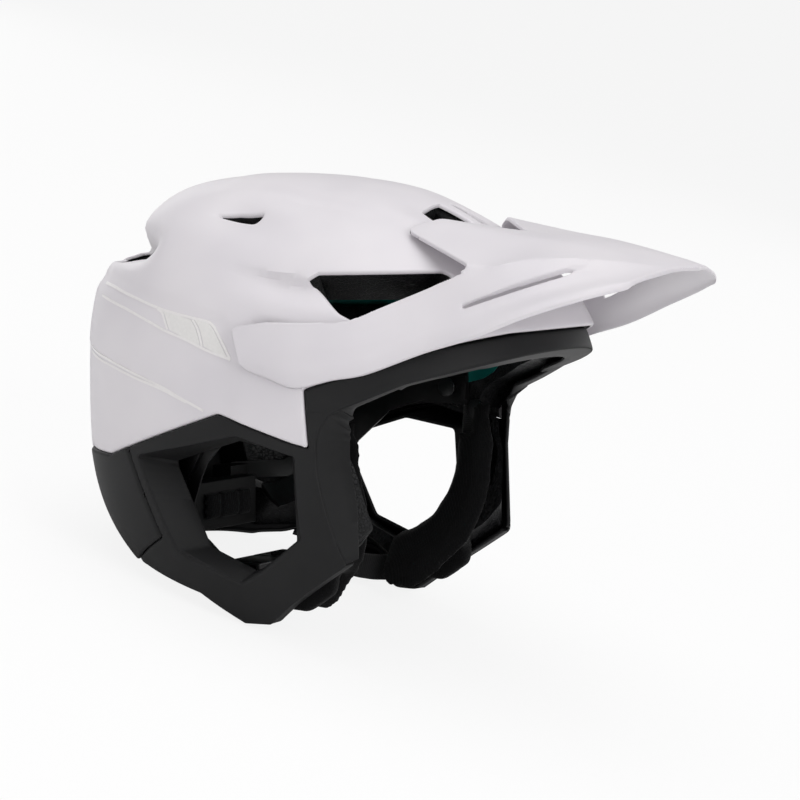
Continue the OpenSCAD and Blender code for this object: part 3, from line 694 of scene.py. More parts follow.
def evened(values, count, closed):
    # A moving average along a run of edge points, which keeps the ends of an open run.
    out = np.array(values, float)
    for _ in range(count):
        mean = (np.roll(out, 1, 0) + 2 * out + np.roll(out, -1, 0)) / 4
        if not closed:
            mean[0], mean[-1] = out[0], out[-1]
        out = mean
    return out


def unit(v):
    return v / np.maximum(np.linalg.norm(v, axis=-1, keepdims=True), 1e-6)


def stretches(on):
    # Runs of true values around a loop, each with whether it is the whole loop.
    if on.all():
        return [(np.arange(len(on)), True)]
    first = int(np.argmin(on))
    order = (np.arange(len(on)) + first) % len(on)
    runs, now = [], []
    for k in order:
        if on[k]:
            now.append(k)
        elif now:
            runs.append(now)
            now = []
    if now:
        runs.append(now)
    return [(np.array(r), False) for r in runs if len(r) > 5]


# In millimetres, how near a cut an edge point counts as on it, and, as cosines, how far the edge may run
# across the cut and the least slant of a wall.
rimSpec = {"near": 2.3, "across": 0.55, "slant": 0.62}


def rimReturn(kinds, thickness, start):
    # Turns stretches of a shell's edge inward as walls that follow a cut, each closed as a solid.
    # A kind is the cut, how deep its wall goes and a function that settles the wall's inner edge from
    # the skin and the wall's two edges.
    def build(points, faces, loops, surface):
        points, faces = [points], list(faces)
        count = len(points[0])
        jobs = []
        for u, v in loops:
            skin = surface(u, v, np.zeros(len(u)))
            ahead = unit(np.roll(skin, -1, 0) - np.roll(skin, 1, 0))
            for cut, depth, settle in kinds:
                across = np.abs((gradientOf(cut, skin) * ahead).sum(1))
                on = (np.abs(cut(skin)) < rimSpec["near"]) & (across < rimSpec["across"])
                jobs += [(u[r], v[r], skin[r], closed, cut, depth, settle) for r, closed in stretches(on)]
        for u, v, skin, closed, cut, depth, settle in jobs:
            a = surface(u, v, np.full(len(u), start))
            inward = unit(surface(u, v, np.full(len(u), start + 6.0)) - a)
            tangent = np.roll(a, -1, 0) - np.roll(a, 1, 0) if closed else np.gradient(a, axis=0)
            tangent = unit(evened(unit(tangent), 3, closed))
            wall = gradientOf(cut, skin)
            run = np.cross(wall, tangent)
            run *= np.sign((run * inward).sum(1))[:, None]
            run = unit(evened(run, 4, closed))
            b = a + run * (depth / np.maximum((run * inward).sum(1), rimSpec["slant"]))[:, None]
            if settle:
                b = settle(skin, a, b)
            lip = unit(b - a)
            face = np.cross(tangent, lip)
            face *= np.sign((face * wall).sum(1))[:, None]
            back = -unit(evened(face, 2, closed)) * thickness
            rows = [a, a + (b - a) * 0.3, a + (b - a) * 0.65, b,
                    b + lip * 0.55 + back * 0.15, b + lip * 0.8 + back * 0.5, b + lip * 0.55 + back * 0.85,
                    b + back, a + (b - a) * 0.5 + back, a + back + inward * 0.4]
            n, m = len(a), len(rows)
            spans = n if closed else n - 1
            made = [(k * n + j, k * n + (j + 1) % n, (k + 1) % m * n + (j + 1) % n, (k + 1) % m * n + j)
                    for k in range(m) for j in range(spans)]
            if not closed:
                made += [tuple(k * n for k in range(m)), tuple(k * n + n - 1 for k in reversed(range(m)))]
            p = np.vstack(rows)
            q = p[np.array(made[:m * spans])]
            volume = (np.cross(q[:, 0], q[:, 1]) * q[:, 2] + np.cross(q[:, 0], q[:, 2]) * q[:, 3]).sum()
            if volume < 0:
                made = [f[::-1] for f in made]
            faces += [tuple(k + count for k in f) for f in made]
            points.append(p)
            count += len(p)
        return np.vstack(points), faces
    return build


# The painted outer shell of the crown, with its vents

shellSpec = {"outer": 0.0, "inner": 2.2, "radius": 1.5, "step": 3.2, "edgeSpacing": 1.3}


def shellRegion(p):
    return bothOf(aboveWhite(p), -inCrownVents(p), 3.0)


standFor(makeShell("crownShell", shellRegion, shellSpec, paint, low=-40.0, carved=True), "upper_shell")

# The black band over the brow

browSpec = {"outer": 0.3, "inner": 2.5, "radius": 1.4, "step": 3.4, "edgeSpacing": 1.3,
            "low": -1.6, "wallShare": 0.56, "plane": 80.5, "flare": 4.0}


def browRegion(p):
    d = meet(-aboveWhite(p, 0.3), (-inFace(p), 2.0), (p[..., 2] - browSpec["low"], 0.5))
    return np.where(p[..., 0] > -20, d, -50)


def toColumnPlane(a, b):
    # The share of the way from a to b at which the wall meets a nearly upright plane.
    plane = browSpec["plane"] + browSpec["flare"] * smooth(-60, -15, a[:, 2])
    return np.clip((np.abs(a[:, 1]) - plane) / np.maximum(np.abs(a[:, 1]) - np.abs(b[:, 1]), 0.1), 0.08, 1)


def browWall(skin, a, b):
    # The wall under the brow is even, and runs out to the column's plane at the temples.
    temple = smooth(26, 4, a[:, 2]) * (a[:, 0] < 50)
    return a + (b - a) * (browSpec["wallShare"] * (1 - temple) + toColumnPlane(a, b) * temple)[:, None]


def columnWall(skin, a, b):
    # The wall behind the face opening ends on one upright plane, so it narrows toward the bottom.
    return a + (b - a) * toColumnPlane(a, b)[:, None]


browBand = makeShell("browBand", browRegion, browSpec, blackPlastic, low=-20.0, high=50.0,
                     rim=rimReturn([(inFace, 24.0, browWall)], 2.0, 1.4))
standFor(browBand, "brow_band")

# The ear guards, with their bevelled ports

portDepth = 84.0  # millimetres from the middle to the port's inner edge, just outside the fit belts
guardSpec = {"outer": 0.3, "inner": 2.5, "radius": 1.3, "step": 3.2, "edgeSpacing": 1.2, "angle": 30, "top": 3.4}


def guardRegion(side):
    def region(p):
        d = meet(aboveBase(p), (-aboveWhite(p, 0.3), 1.5), (-within("seam", p, 0.3), 1.5), (-inFace(p), 2.5),
                 (-inPort(p), 1.5), (guardSpec["top"] - p[..., 2], 0.5))
        return np.where(p[..., 1] * side > 0, d, -50)
    return region


def portBevel(skin, a, b):
    # The wall of the port ends on the smaller outline further in.
    outer, inner = np.array(outlines["portOuter"], float), np.array(outlines["portInner"], float)
    q = skin[:, [0, 2]]
    best, place = np.full(len(q), 1e9), np.zeros((len(q), 2))
    for i in range(len(outer)):
        k = (i + 1) % len(outer)
        edge = outer[k] - outer[i]
        t = np.clip((q - outer[i]) @ edge / (edge @ edge), 0, 1)
        gap = np.linalg.norm(outer[i] + t[:, None] * edge - q, axis=1)
        place = np.where((gap < best)[:, None], inner[i] * (1 - t[:, None]) + inner[k] * t[:, None], place)
        best = np.minimum(gap, best)
    place = evened(place, 2, True)
    return np.stack([place[:, 0], np.sign(skin[:, 1]) * portDepth, place[:, 1]], 1)


def belowBase(p):
    return -aboveBase(p)


guardWalls = [(inFace, 24.0, columnWall), (inPort, 15.5, portBevel), (belowBase, 5.0, None)]
for side, label in sides:
    guard = makeShell(label + "EarGuard", guardRegion(side), guardSpec, blackPlastic, low=-72.0, high=20.0,
                      rim=rimReturn(guardWalls, 2.0, 1.3))
    standFor(guard, "ear_guard_" + label)

# The cover over the lower rear

coverSpec = {"outer": -0.3, "inner": 2.2, "radius": 1.2, "step": 3.4, "edgeSpacing": 1.3}


def coverRegion(p):
    d = meet(aboveBase(p), (-aboveWhite(p, 0.3), 1.5), (within("seam", p), 1.5))
    return np.where(p[..., 0] < -60, d, -50)


rearCover = makeShell("rearCover", coverRegion, coverSpec, blackPlastic, low=-72.0, high=20.0,
                      rim=rimReturn([(belowBase, 2.5, None)], 1.6, 1.2))
standFor(rearCover, "rear_cover")

# The moulded foam under the shells

foamDomeSpec = {"outer": 2.7, "inner": 22.2, "extra": 7.0, "radius": 2.4, "step": 4.2, "edgeSpacing": 2.2,
                "levels": (0.0, 0.5, 1.4, 2.8), "plainInside": True}
foamEarSpec = {"outer": 3.0, "inner": 22.2, "extra": 7.0, "radius": 2.4, "step": 4.2, "edgeSpacing": 2.0,
               "levels": (0.0, 0.5, 1.4, 2.8), "clearsNeck": True}
neck = {"x": -32, "long": 1.35, "half": 63.5, "top": -50}
dialPocket = {"x": -92, "half": 57, "top": -32}


def neckSpace(p):
    # How far a point is outside the round opening left for the neck.
    return np.hypot((p[..., 0] - neck["x"]) / neck["long"], p[..., 1]) - neck["half"]


def foamDomeRegion(p):
    return meet(aboveWhite(p), (-inFace(p, 3.2), 2.0), (-inCrownVents(p, 0.3), 2.0))


def foamEarRegion(side):
    def region(p):
        x, y, z = p[..., 0], np.abs(p[..., 1]), p[..., 2]
        pocket = np.minimum(np.minimum(dialPocket["x"] - x, dialPocket["half"] - y), dialPocket["top"] - z)
        d = meet(aboveBase(p, -2.0), (-aboveWhite(p, 0.5), 2.0), (-inFace(p, 3.2), 2.0), (-inPort(p, 3.0), 2.0),
                 (-np.minimum(within("lobe", p), 62 - y), 2.0), (-pocket, 1.5),
                 (np.where(z < neck["top"], neckSpace(p), 50), 1.5), (y - 0.4, 0.5))
        return np.where(p[..., 1] * side > 0, d, -50)
    return region


standFor(makeShell("foamDome", foamDomeRegion, foamDomeSpec, beadFoam, low=-40.0, carved=True), "eps_dome")
for side, label in sides:
    standFor(makeShell(label + "FoamEar", foamEarRegion(side), foamEarSpec, beadFoam, low=-66.0, high=20.0),
             "eps_ear_" + label)
print("shells and foam made")
# The visor: two arms over the temples, two cheeks that taper to the tip and a raised top

visorRows = {
    # stations from the rear of the arm to the tip: lower edge, fold and upper edge of the side,
    # then the outer edge, middle and centre of the top
    "arm": [
        [(-29, 22), (-33, 33), (-37, 43)], [(-14, 17.5), (-12, 33), (-16, 46)], [(2, 13), (4, 33), (6, 46)],
        [(20, 17), (24, 34), (26, 47)], [(36, 20.5), (42, 38), (44, 56)]],
    "nose": [
        [(65, 91, 32.5), (66, 84, 46), (62, 76, 64)], [(90, 89, 41), (90, 77.5, 52), (81, 70, 71.5)],
        [(115, 82.5, 51.5), (114, 68, 60), (110, 55, 76.5)], [(138, 70, 59.8), (140, 53.5, 66.3), (140, 38, 75.5)],
        [(156, 52, 65.6), (160, 40.5, 68.4), (165, 20, 71.5)]],
    "top": [
        [(32, 51, 90.5), (44, 36, 95.5), (75, 0, 88)], [(81, 70, 72.3), (84, 34, 88), (95, 0, 87.5)],
        [(110, 55, 76.8), (112, 28, 84), (118, 0, 84.5)], [(140, 38, 75.6), (142, 20, 78), (145, 0, 79)],
        [(165, 20, 71.6), (167, 10, 72), (170, 0, 72)]],
    "window": [(-60, 41.6), (-37, 41.8), (-16, 44.8), (6, 44.9), (26, 45.9), (44, 54.9), (62, 63), (77, 70.6),
               (76, 74.2), (32, 90.6), (20, 140), (-60, 140)],
    "slot": [(80, 52.3), (103.8, 61.2), (124.5, 68.6), (127.5, 70.9), (124, 71), (103.8, 63.4), (80, 54.4)],
}


def sideOf(x, z):
    # Half width of the bare form at a place on its side.
    lean = z + form["crownLean"] * (x + 38) * smooth(-30, 110, z)
    dx = x - form["centreX"]
    a, n = (form["frontReach"], 2.2) if dx > 0 else (form["rearReach"], 2.7)
    level = (1 - abs((lean - form["centreZ"]) / form["crownRise"]) ** 2.25) ** (n / 2.25) - abs(dx / a) ** n
    return form["halfWidth"] * level ** (1 / n)


def visorGrid():
    # The control points, as stations by six lines, with the top continued behind its rear edge.
    rows = []
    for k, arm in enumerate(visorRows["arm"]):
        side = [(x, sideOf(x, z) + 4.2, z) for x, z in arm]
        first, second = np.array(visorRows["top"][0], float), np.array(visorRows["top"][1], float)
        rows.append(np.vstack([side, first - (second - first) * (0.6 * (5 - k))]))
    for side, top in zip(visorRows["nose"], visorRows["top"]):
        rows.append(np.vstack([side, top]))
    return np.array(rows)


def splineAt(knots, t):
    # A smooth curve through evenly numbered knots, straight on beyond its ends.
    n = len(knots)
    slopes = np.gradient(knots, axis=0)
    i = np.clip(np.floor(t).astype(int), 0, n - 2)
    s = (t - i)[..., None]
    h = [2 * s ** 3 - 3 * s ** 2 + 1, s ** 3 - 2 * s ** 2 + s, -2 * s ** 3 + 3 * s ** 2, s ** 3 - s ** 2]
    return i, h, slopes


visorPoints = visorGrid()
# how far across the visor each line lies, in millimetres from one lower edge to the other
visorLines = np.array([0, 15, 31, 33, 62, 92], float)
visorSpan = 184.0


def visorLine(u, line):
    i, h, slopes = splineAt(visorPoints, u)
    knots = visorPoints
    return h[0] * knots[i, line] + h[1] * slopes[i, line] + h[2] * knots[i + 1, line] + h[3] * slopes[i + 1, line]


def visorMid(u, w):
    # The outer face of one half, straight between its lines.
    k = np.clip(np.searchsorted(visorLines, w, side="right") - 1, 0, 4)
    t = ((w - visorLines[k]) / (visorLines[k + 1] - visorLines[k]))[..., None]
    return visorLine(u, k) * (1 - t) + visorLine(u, k + 1) * t


def visorFace(u, m):
    # The outer face with its folds rounded, without drawing the window's two edges together.
    total = 0
    loose = 4 * smooth(5.9, 6.5, u)
    centre = np.minimum(m, visorSpan - m)
    for k in (-2.2, -1.1, 0, 1.1, 2.2):
        w = np.minimum(m + k, visorSpan - m - k)
        w = np.where(centre <= 31, np.minimum(w, 31 + loose), w)
        w = np.where(centre >= 33, np.maximum(w, 33 - loose), w)
        p = visorMid(u, w)
        p[..., 1] *= np.where(m + k > visorSpan / 2, -1, 1)
        total = total + p
    return total / 5


def visorRelief(p, w):
    # A turned-in lower edge, and the raised brow over each slot with the dip at its front end.
    x, z = p[..., 0], p[..., 2]
    line = np.interp(x, [80, 96, 112, 126, 134], [54.2, 60.2, 66.2, 71.4, 73])
    over = z - line
    brow = smooth(-0.6, 0.6, over) * smooth(15, 1, over) * smooth(78, 104, x) * smooth(134, 122, x)
    dip = np.exp(-(((x - 131) / 4.5) ** 2 + ((z - 71.6) / 1.5) ** 2))
    return (1.7 * brow - 1.2 * dip) * (w < 31) - 1.5 * smooth(4.2, 0.2, w)


def visorSurface(u, m, depth):
    u, m = np.broadcast_arrays(np.asarray(u, float), np.asarray(m, float))
    p = visorFace(u, m)
    du = visorFace(u + 0.02, m) - visorFace(u - 0.02, m)
    dm = visorFace(u, m + 0.4) - visorFace(u, m - 0.4)
    n = np.cross(dm, du)
    n /= np.maximum(np.linalg.norm(n, axis=-1, keepdims=True), 1e-9)
    raised = visorRelief(p, np.minimum(m, visorSpan - m))
    return p + n * (raised - np.asarray(depth, float))[..., None]


def visorRegion(u, m, p):
    # cut by both ends, the rear edges of the arm and the top, the window and the slots
    w, (x, z) = np.minimum(m, visorSpan - m), (p[..., 0], p[..., 2])
    slot = np.where(w < 31, inOutline(visorRows["slot"], x, z), -50)
    d = meet(w, ((9.0 - u) * 16, 4.0), (np.where(w < 32, u * 15, (u - 5) * 30), 5.0),
             (-inOutline(visorRows["window"], x, z), 4.0), (-slot, 1.0))
    return np.minimum(d, x + 41)


def makeVisor():
    us, ms = np.arange(-0.6, 9.7, 0.035), np.arange(-6, visorSpan + 6.1, 0.8)
    patch = Patch(visorSurface, visorRegion, us, ms, lambda u, m: np.stack([u * 19.0, m], -1))
    rows = []
    for k, m in enumerate(np.arange(0, visorSpan, 2.9)):
        u = np.arange(-0.3, 9.3, 0.16) + 0.08 * (k % 2)
        rows.append(np.stack([np.full(len(u), (m - ms[0]) / 0.8), (u - us[0]) / 0.035], 1))
    spec = {"outer": 0.0, "inner": 2.0, "radius": 0.9, "edgeSpacing": 1.3, "levels": (0.0, 0.2, 0.6, 1.2, 2.6)}
    points, faces, _ = buildPatch(patch, np.vstack(rows), spec)
    return makeObject("tiltVisor", points, faces, paint, 40)


standFor(makeVisor(), "visor")
print("visor made")


# Helpers for the inner pieces, which follow layers of the form or the CAD's own meshes

def offTable(points):
    # Turns metres on the table back into photo-pose millimetres.
    p = np.asarray(points, float).reshape(-1, 3) * 1000
    c, s = math.cos(stand["tilt"]), math.sin(stand["tilt"])
    x, z = p[:, 0] - stand["x"], p[:, 2] - stand["z"]
    return np.stack([x * c + z * s, p[:, 1], z * c - x * s], 1)


def onLayer(x, z, side, depth, extra=0.0, carved=False):
    # The point of one layer of the form that lies at a place in side view, found by Newton steps.
    x, z = np.asarray(x, float), np.asarray(z, float)
    az = np.degrees(np.arctan2(np.full(x.shape, side * 80.0), x - form["centreX"]))
    el = np.degrees(np.arctan2(z - form["centreZ"], np.hypot(x - form["centreX"], 80)))
    for _ in range(16):
        p, pa, pe = (skinPoint(az + a, el + e, depth, extra, carved) for a, e in ((0, 0), (0.05, 0), (0, 0.05)))
        xa, za = (pa - p)[..., 0] / 0.05, (pa - p)[..., 2] / 0.05
        xe, ze = (pe - p)[..., 0] / 0.05, (pe - p)[..., 2] / 0.05
        det = xa * ze - xe * za
        det = np.where(np.abs(det) < 1e-3, 1e-3, det)
        gapX, gapZ = x - p[..., 0], z - p[..., 2]
        az = az + np.clip((ze * gapX - xe * gapZ) / det, -6, 6)
        el = el + np.clip((xa * gapZ - za * gapX) / det, -6, 6)
    return skinPoint(az, el, depth, extra, carved)


def smoothLine(knots, step):
    # A smooth curve through points, in even steps of about step millimetres.
    k = np.array(knots, float)
    if len(k) > 2:
        t = np.linspace(0, len(k) - 1, (len(k) - 1) * 12 + 1)
        i, h, slopes = splineAt(k, t)
        k = h[0] * k[i] + h[1] * slopes[i] + h[2] * k[i + 1] + h[3] * slopes[i + 1]
    run = np.concatenate([[0], np.cumsum(np.linalg.norm(np.diff(k, axis=0), axis=1))])
    at = np.linspace(0, run[-1], max(3, int(run[-1] / step) + 1))
    return np.stack([np.interp(at, run, k[:, c]) for c in range(k.shape[1])], 1)


# The sheet that slips on the foam, open at the side vents and with round holes near its top

sheetSpec = {
    "outline": [(-200, 12), (-100, 12), (-60, 17), (-22, 17), (-18, 5), (4, 4), (16, 7), (26, 12), (36, 21), (60, 31),
                (100, 41), (130, 200), (-200, 200)],
    "sideGap": [(-8, 36), (60, 36), (66, 74), (-8, 74)],
    "topHoles": [(-92, 0, 12), (-58, 0, 12), (12, 0, 12), (-34, 34, 13), (-34, -34, 13)],
    "shell": {"outer": 24.2, "inner": 25.2, "extraOut": 7.0, "extra": 7.0, "radius": 0.45, "step": 5.0,
              "edgeSpacing": 2.4, "levels": (0.0, 0.3, 1.0, 2.4)},
}
# the liner's tethers, in degrees round the form and down from its top, and the hole round each
tethers = {"around": [60, 160, 200, 300], "down": 76, "hole": 8.8}


def linerRegion(p):
    x, y, z = p[..., 0], p[..., 1], p[..., 2]
    d = inOutline(sheetSpec["outline"], x, z)
    d = bothOf(d, -np.where(np.abs(y) > 20, inOutline(sheetSpec["sideGap"], x, z), -50), 4.0)
    for hx, hy, r in sheetSpec["topHoles"]:
        d = bothOf(d, np.where(z > 58, np.hypot(x - hx, y - hy) - r, 50), 2.0)
    down, q = math.radians(tethers["down"]), p - np.array([form["centreX"], 0, form["centreZ"] + 2])
    for a in tethers["around"]:
        a = math.radians(a)
        tip = np.array([math.cos(a) * math.sin(down), math.sin(a) * math.sin(down), math.cos(down)])
        along = (q * tip).sum(-1)
        off = np.linalg.norm(q - along[..., None] * tip, axis=-1)
        d = bothOf(d, np.where(along > 0, off - tethers["hole"], 50), 0.5)
    return d


standFor(makeShell("slipSheet", linerRegion, sheetSpec["shell"], linerSheet, low=-4.0), "slip_liner")


# The pads: knitted cloth over soft foam, blown up a little by the cloth solver, with pressed channels

cheekOutline = [(-7, -21), (2, -21), (2, -5), (15.5, -4), (16.5, -12), (17.5, -34), (18.5, -46), (17.5, -57),
                (14.5, -68), (10, -77), (5, -83.5), (-8, -97), (-17, -103), (-34, -103), (-42, -100), (-42, -80),
                (-36, -76.5), (-27, -72.5), (-17.5, -65), (-11, -53), (-8, -42)]
# a cheek pad's two lobes: from and to, in millimetres from the middle, and the outline between
lobes = [(65, 73.5, [(-34, -89), (-12, -83), (2, -78.5), (4, -81), (3.4, -92.8), (-12.4, -103.6), (-22.5, -102.8),
                     (-34, -99)]),
         (54, 67, [(5.5, -76), (8.6, -76), (5, -81), (2.6, -84), (-0.5, -83.5), (4, -78)])]
padShape = {"outer": 26.4, "inner": 32.2, "radius": 1.6, "step": 3.6, "edgeSpacing": 2.2,
            "pillow": (2.2, 6.0), "levels": (0.0, 0.5, 1.2, 2.4), "gap": 1.4}
cheekShape = dict(padShape, outer=25.0, inner=33.4, pillow=(5.0, 11.0), radius=2.0, hollow=3.6)


def crownField(p):
    x, y = np.abs(p[..., 0] + 40) - 42, np.abs(p[..., 1]) - 9
    return np.where(p[..., 2] > 50, 7 - np.hypot(np.maximum(x, 0), np.maximum(y, 0)), -50)


padSpec = {
    "browCushion": {"node": "brow_pad", "shape": dict(padShape, inner=32.8), "low": 8, "high": 36,
                    "cap": 0.9, "fill": 0.5,
                    "field": lambda p: inOutline([(24, 27), (60, 33), (110, 38), (110, 58), (60, 54), (30, 46)],
                                                 p[..., 0], p[..., 2]),
                    "channels": [((0, -24, 0), (0, 1, 0)), ((0, 24, 0), (0, 1, 0)),
                                 ((0, -58, 0), (0.5, 0.86, 0)), ((0, 58, 0), (-0.5, 0.86, 0))]},
    "crownCushion": {"node": "crown_pad", "shape": padShape, "low": 40, "high": 90, "cap": 0.9, "fill": 0.5,
                     "field": crownField,
                     "channels": [((-62, 0, 0), (1, 0, 0)), ((-36, 0, 0), (1, 0, 0)), ((-10, 0, 0), (1, 0, 0))]},
}
for side, label in sides:
    padSpec[label + "SideCushion"] = {
        "node": "side_pad_" + label, "shape": padShape, "low": 2, "high": 50, "cap": 0.9, "fill": 0.5,
        "field": lambda p, side=side: np.where(p[..., 1] * side > 30, inOutline(
            [(-94, 20), (-20, 20), (-24, 30), (-36, 46), (-84, 46), (-94, 34)], p[..., 0], p[..., 2]), -50),
        "channels": [((-68, 0, 0), (1, 0, 0)), ((-44, 0, 0), (1, 0, 0))]}
    padSpec[label + "CheekCushion"] = {
        "node": "cheek_pad_" + label, "shape": cheekShape, "low": -70, "high": 6, "cap": 1.0, "fill": 0.7,
        "side": side, "channels": [],
        "field": lambda p, side=side: np.where(p[..., 1] * side > 20, inOutline(
            cheekOutline, p[..., 0], p[..., 2]), -50)}
padSpec["napeCushion"] = {"node": "cradle_pad", "cap": 0.9, "fill": 0.4,
                          "channels": [((0, -9, 0), (0, 1, 0)), ((0, 9, 0), (0, 1, 0))]}


def padBody(name, spec):
    # The pad before it is blown up: a slice of the form with a crowned face toward the head.
    shape = spec["shape"]
    vs = gridRows(spec["low"], spec["high"])

    def surface(u, v, depth):
        p = skinPoint(u, v, depth, form["foamExtra"])
        if not shape.get("hollow"):
            return p
        # the strap's anchor stands behind the upper end
        share = np.clip((shape["inner"] - np.asarray(depth, float)) / 8.0, 0, 1)
        return skinPoint(u, v, depth + share * shape["hollow"] * smooth(-27, -19, p[..., 2]), form["foamExtra"])

    middle = (shape["outer"] + shape["inner"]) / 2
    # the outline is met halfway through the pad, since depth draws the form in
    patch = Patch(surface, lambda u, v, p: spec["field"](surface(u, v, middle)), azGrid, vs, stereo)
    points, faces, _ = buildPatch(patch, domeLattice(vs, shape["step"]), shape)
    faces = list(faces)
    if "side" in spec:
        for near, far, outline in lobes:
            n, base = len(outline), len(points)
            q = np.array([(x, spec["side"] * y, z) for y in (near, far) for x, z in outline], float)
            made = [(k, (k + 1) % n, (k + 1) % n + n, k + n) for k in range(n)]
            made += [tuple(range(n))[::-1], tuple(range(n, 2 * n))]
            faces += [tuple(v + base for v in f) for f in made]
            points = np.vstack([points, q])
    pad = makeObject(name, points, faces, padKnit)
    editMesh(pad.data, faceOut)
    return pad


def copyNode(node, name):
    # A merged copy of a CAD node's mesh, at the origin.
    mesh = frame["nodes"][node].data.copy()
    mesh.name = name
    editMesh(mesh, lambda bm: bmesh.ops.remove_doubles(bm, verts=bm.verts, dist=2e-6),
             lambda bm: bmesh.ops.dissolve_degenerate(bm, edges=bm.edges, dist=1e-6))
    mesh.materials.clear()
    return addObject(name, mesh)


def settle(obj):
    # Bakes an object's modifiers into its mesh.
    made = bpy.data.meshes.new_from_object(obj.evaluated_get(bpy.context.evaluated_depsgraph_get()))
    obj.modifiers.clear()
    old, obj.data = obj.data, made
    made.name = old.name
    return obj


def coords(mesh):
    flat = np.empty(len(mesh.vertices) * 3)
    mesh.vertices.foreach_get("co", flat)
    return flat.reshape(-1, 3)


def normals(mesh):
    flat = np.empty(len(mesh.vertices) * 3)
    mesh.vertex_normals.foreach_get("vector", flat)
    return flat.reshape(-1, 3)


clothSpec = {"frames": 20, "quality": 4, "mass": 0.05, "pressure": 4.0}
channelSpec = {"depth": 0.9, "width": 1.5}


def puffPads(pads):
    # Lets the cloth solver blow the pads up a little, held to a cap for each.
    scene = bpy.context.scene
    scene.frame_start, scene.frame_end = 1, clothSpec["frames"]
    rest = {name: coords(pad.data) for name, pad in pads.items()}
    for pad in pads.values():
        cloth = pad.modifiers.new("cloth", "CLOTH")
        cloth.settings.quality = clothSpec["quality"]
        cloth.settings.mass = clothSpec["mass"]
        cloth.settings.use_pressure = True
        cloth.settings.uniform_pressure_force = clothSpec["pressure"]
        cloth.settings.effector_weights.gravity = 0.0
        cloth.point_cache.frame_start, cloth.point_cache.frame_end = 1, clothSpec["frames"]
    for step in range(1, clothSpec["frames"] + 1):
        scene.frame_set(step)
    depsgraph = bpy.context.evaluated_depsgraph_get()
    for name, pad in pads.items():
        moved = coords(pad.evaluated_get(depsgraph).data)
        pad.modifiers.clear()
        shift = moved - rest[name]
        length = np.maximum(np.linalg.norm(shift, axis=1), 1e-9)
        cap = padSpec[name]["cap"] / 1000
        print(name, "moved", round(float(np.median(length)) * 1000, 2), "mm before the cap")
        shift *= (cap * np.tanh(length / cap) / length)[:, None]
        pad.data.vertices.foreach_set("co", (rest[name] + shift).ravel())
    scene.frame_set(1)


def makePads():
    pads = {}
    for name, spec in padSpec.items():
        if "shape" in spec:
            pad, voxel = padBody(name, spec), 2.2
        else:
            pad, voxel = copyNode(spec["node"], name), 1.6
            pad.data.vertices.foreach_set("co", (coords(pad.data) - normals(pad.data) * 0.0005).ravel())
        remesh = pad.modifiers.new("skin", "REMESH")
        remesh.mode, remesh.voxel_size = "VOXEL", voxel / 1000
        ease = pad.modifiers.new("ease", "SMOOTH")
        ease.factor, ease.iterations = 0.5, 7
        pads[name] = settle(pad)
        pads[name].data.materials.clear()
    puffPads(pads)
    for name, pad in pads.items():
        spec = padSpec[name]
        rounder = pad.modifiers.new("rounder", "SUBSURF")
        rounder.levels = rounder.render_levels = 1
        settle(pad)
        mesh = pad.data
        p, n = offTable(coords(mesh)), normals(mesh)
        sink = np.zeros(len(p))
        for spot, across in spec["channels"]:
            gap = (p - np.array(spot)) @ (np.array(across) / np.linalg.norm(across))
            sink = np.maximum(sink, channelSpec["depth"] * np.exp(-(gap / channelSpec["width"]) ** 2))
        mesh.vertices.foreach_set("co", (coords(mesh) - n * sink[:, None] / 1000).ravel())
        mesh.shade_smooth()
        # the cheek pads take the finer cloth, darkened as painted shade of the face opening
        mesh.materials.append(cheekKnitPaintedShade if "Cheek" in name else padKnit)
        standFor(pad, spec["node"])
    print(len(pads), "pads made")


makePads()


# The straps: flat webbing, from the anchor down behind the cheek and round to the buckle

strapSpec = {
    "edges": [((-7, -8), (8, -8)), ((-7.5, -34), (8.5, -34)), ((-8, -58), (8.5, -58)), ((-11, -67), (6.5, -69)),
              ((-16, -75.5), (-0.5, -80.5)), ((-24, -81.5), (-10, -90)), ((-33, -87), (-23, -100.6)),
              ((-44, -90.5), (-44, -103.6))],
    "layer": 23.45, "extra": 7.0, "thickness": 1.2, "step": 2.0,
}


def strapRows(side):
    # The two edges of a strap: on a layer of the form first, then twisting to lie flat in the buckle.
    rows = []
    for back, front in strapSpec["edges"]:
        pair = onLayer(np.array([back[0], front[0]]), np.array([back[1], front[1]]), side,
                       strapSpec["layer"], strapSpec["extra"])
        rows.append(pair)
    for t in np.linspace(0.2, 1, 7):
        centre = np.array([-44.5 - 35.5 * t, 57 - 30.5 * t, -97.5 + 7 * t])
        tip, lean, turn = math.radians(85 - 85 * t), math.radians(-25 + 25 * t), math.radians(-56 + 56 * t)
        x, y, z = math.cos(tip), math.sin(lean) * math.sin(tip), -math.cos(lean) * math.sin(tip)
        wide = np.array([x * math.cos(turn) - y * math.sin(turn), x * math.sin(turn) + y * math.cos(turn), z])
        half = wide * (7 + t)
        pair = np.stack([centre - half, centre + half])
        pair[:, 1] *= side
        rows.append(pair)
    rows = np.array(rows)
    flips = ((rows[1:, 0] - rows[:-1, 0]) ** 2).sum(-1) > ((rows[1:, 1] - rows[:-1, 0]) ** 2).sum(-1)
    turned = np.concatenate([[False], np.cumsum(flips) % 2 == 1])
    rows[turned] = rows[turned][:, ::-1]
    return smoothLine(rows.reshape(len(rows), 6), strapSpec["step"]).reshape(-1, 2, 3)


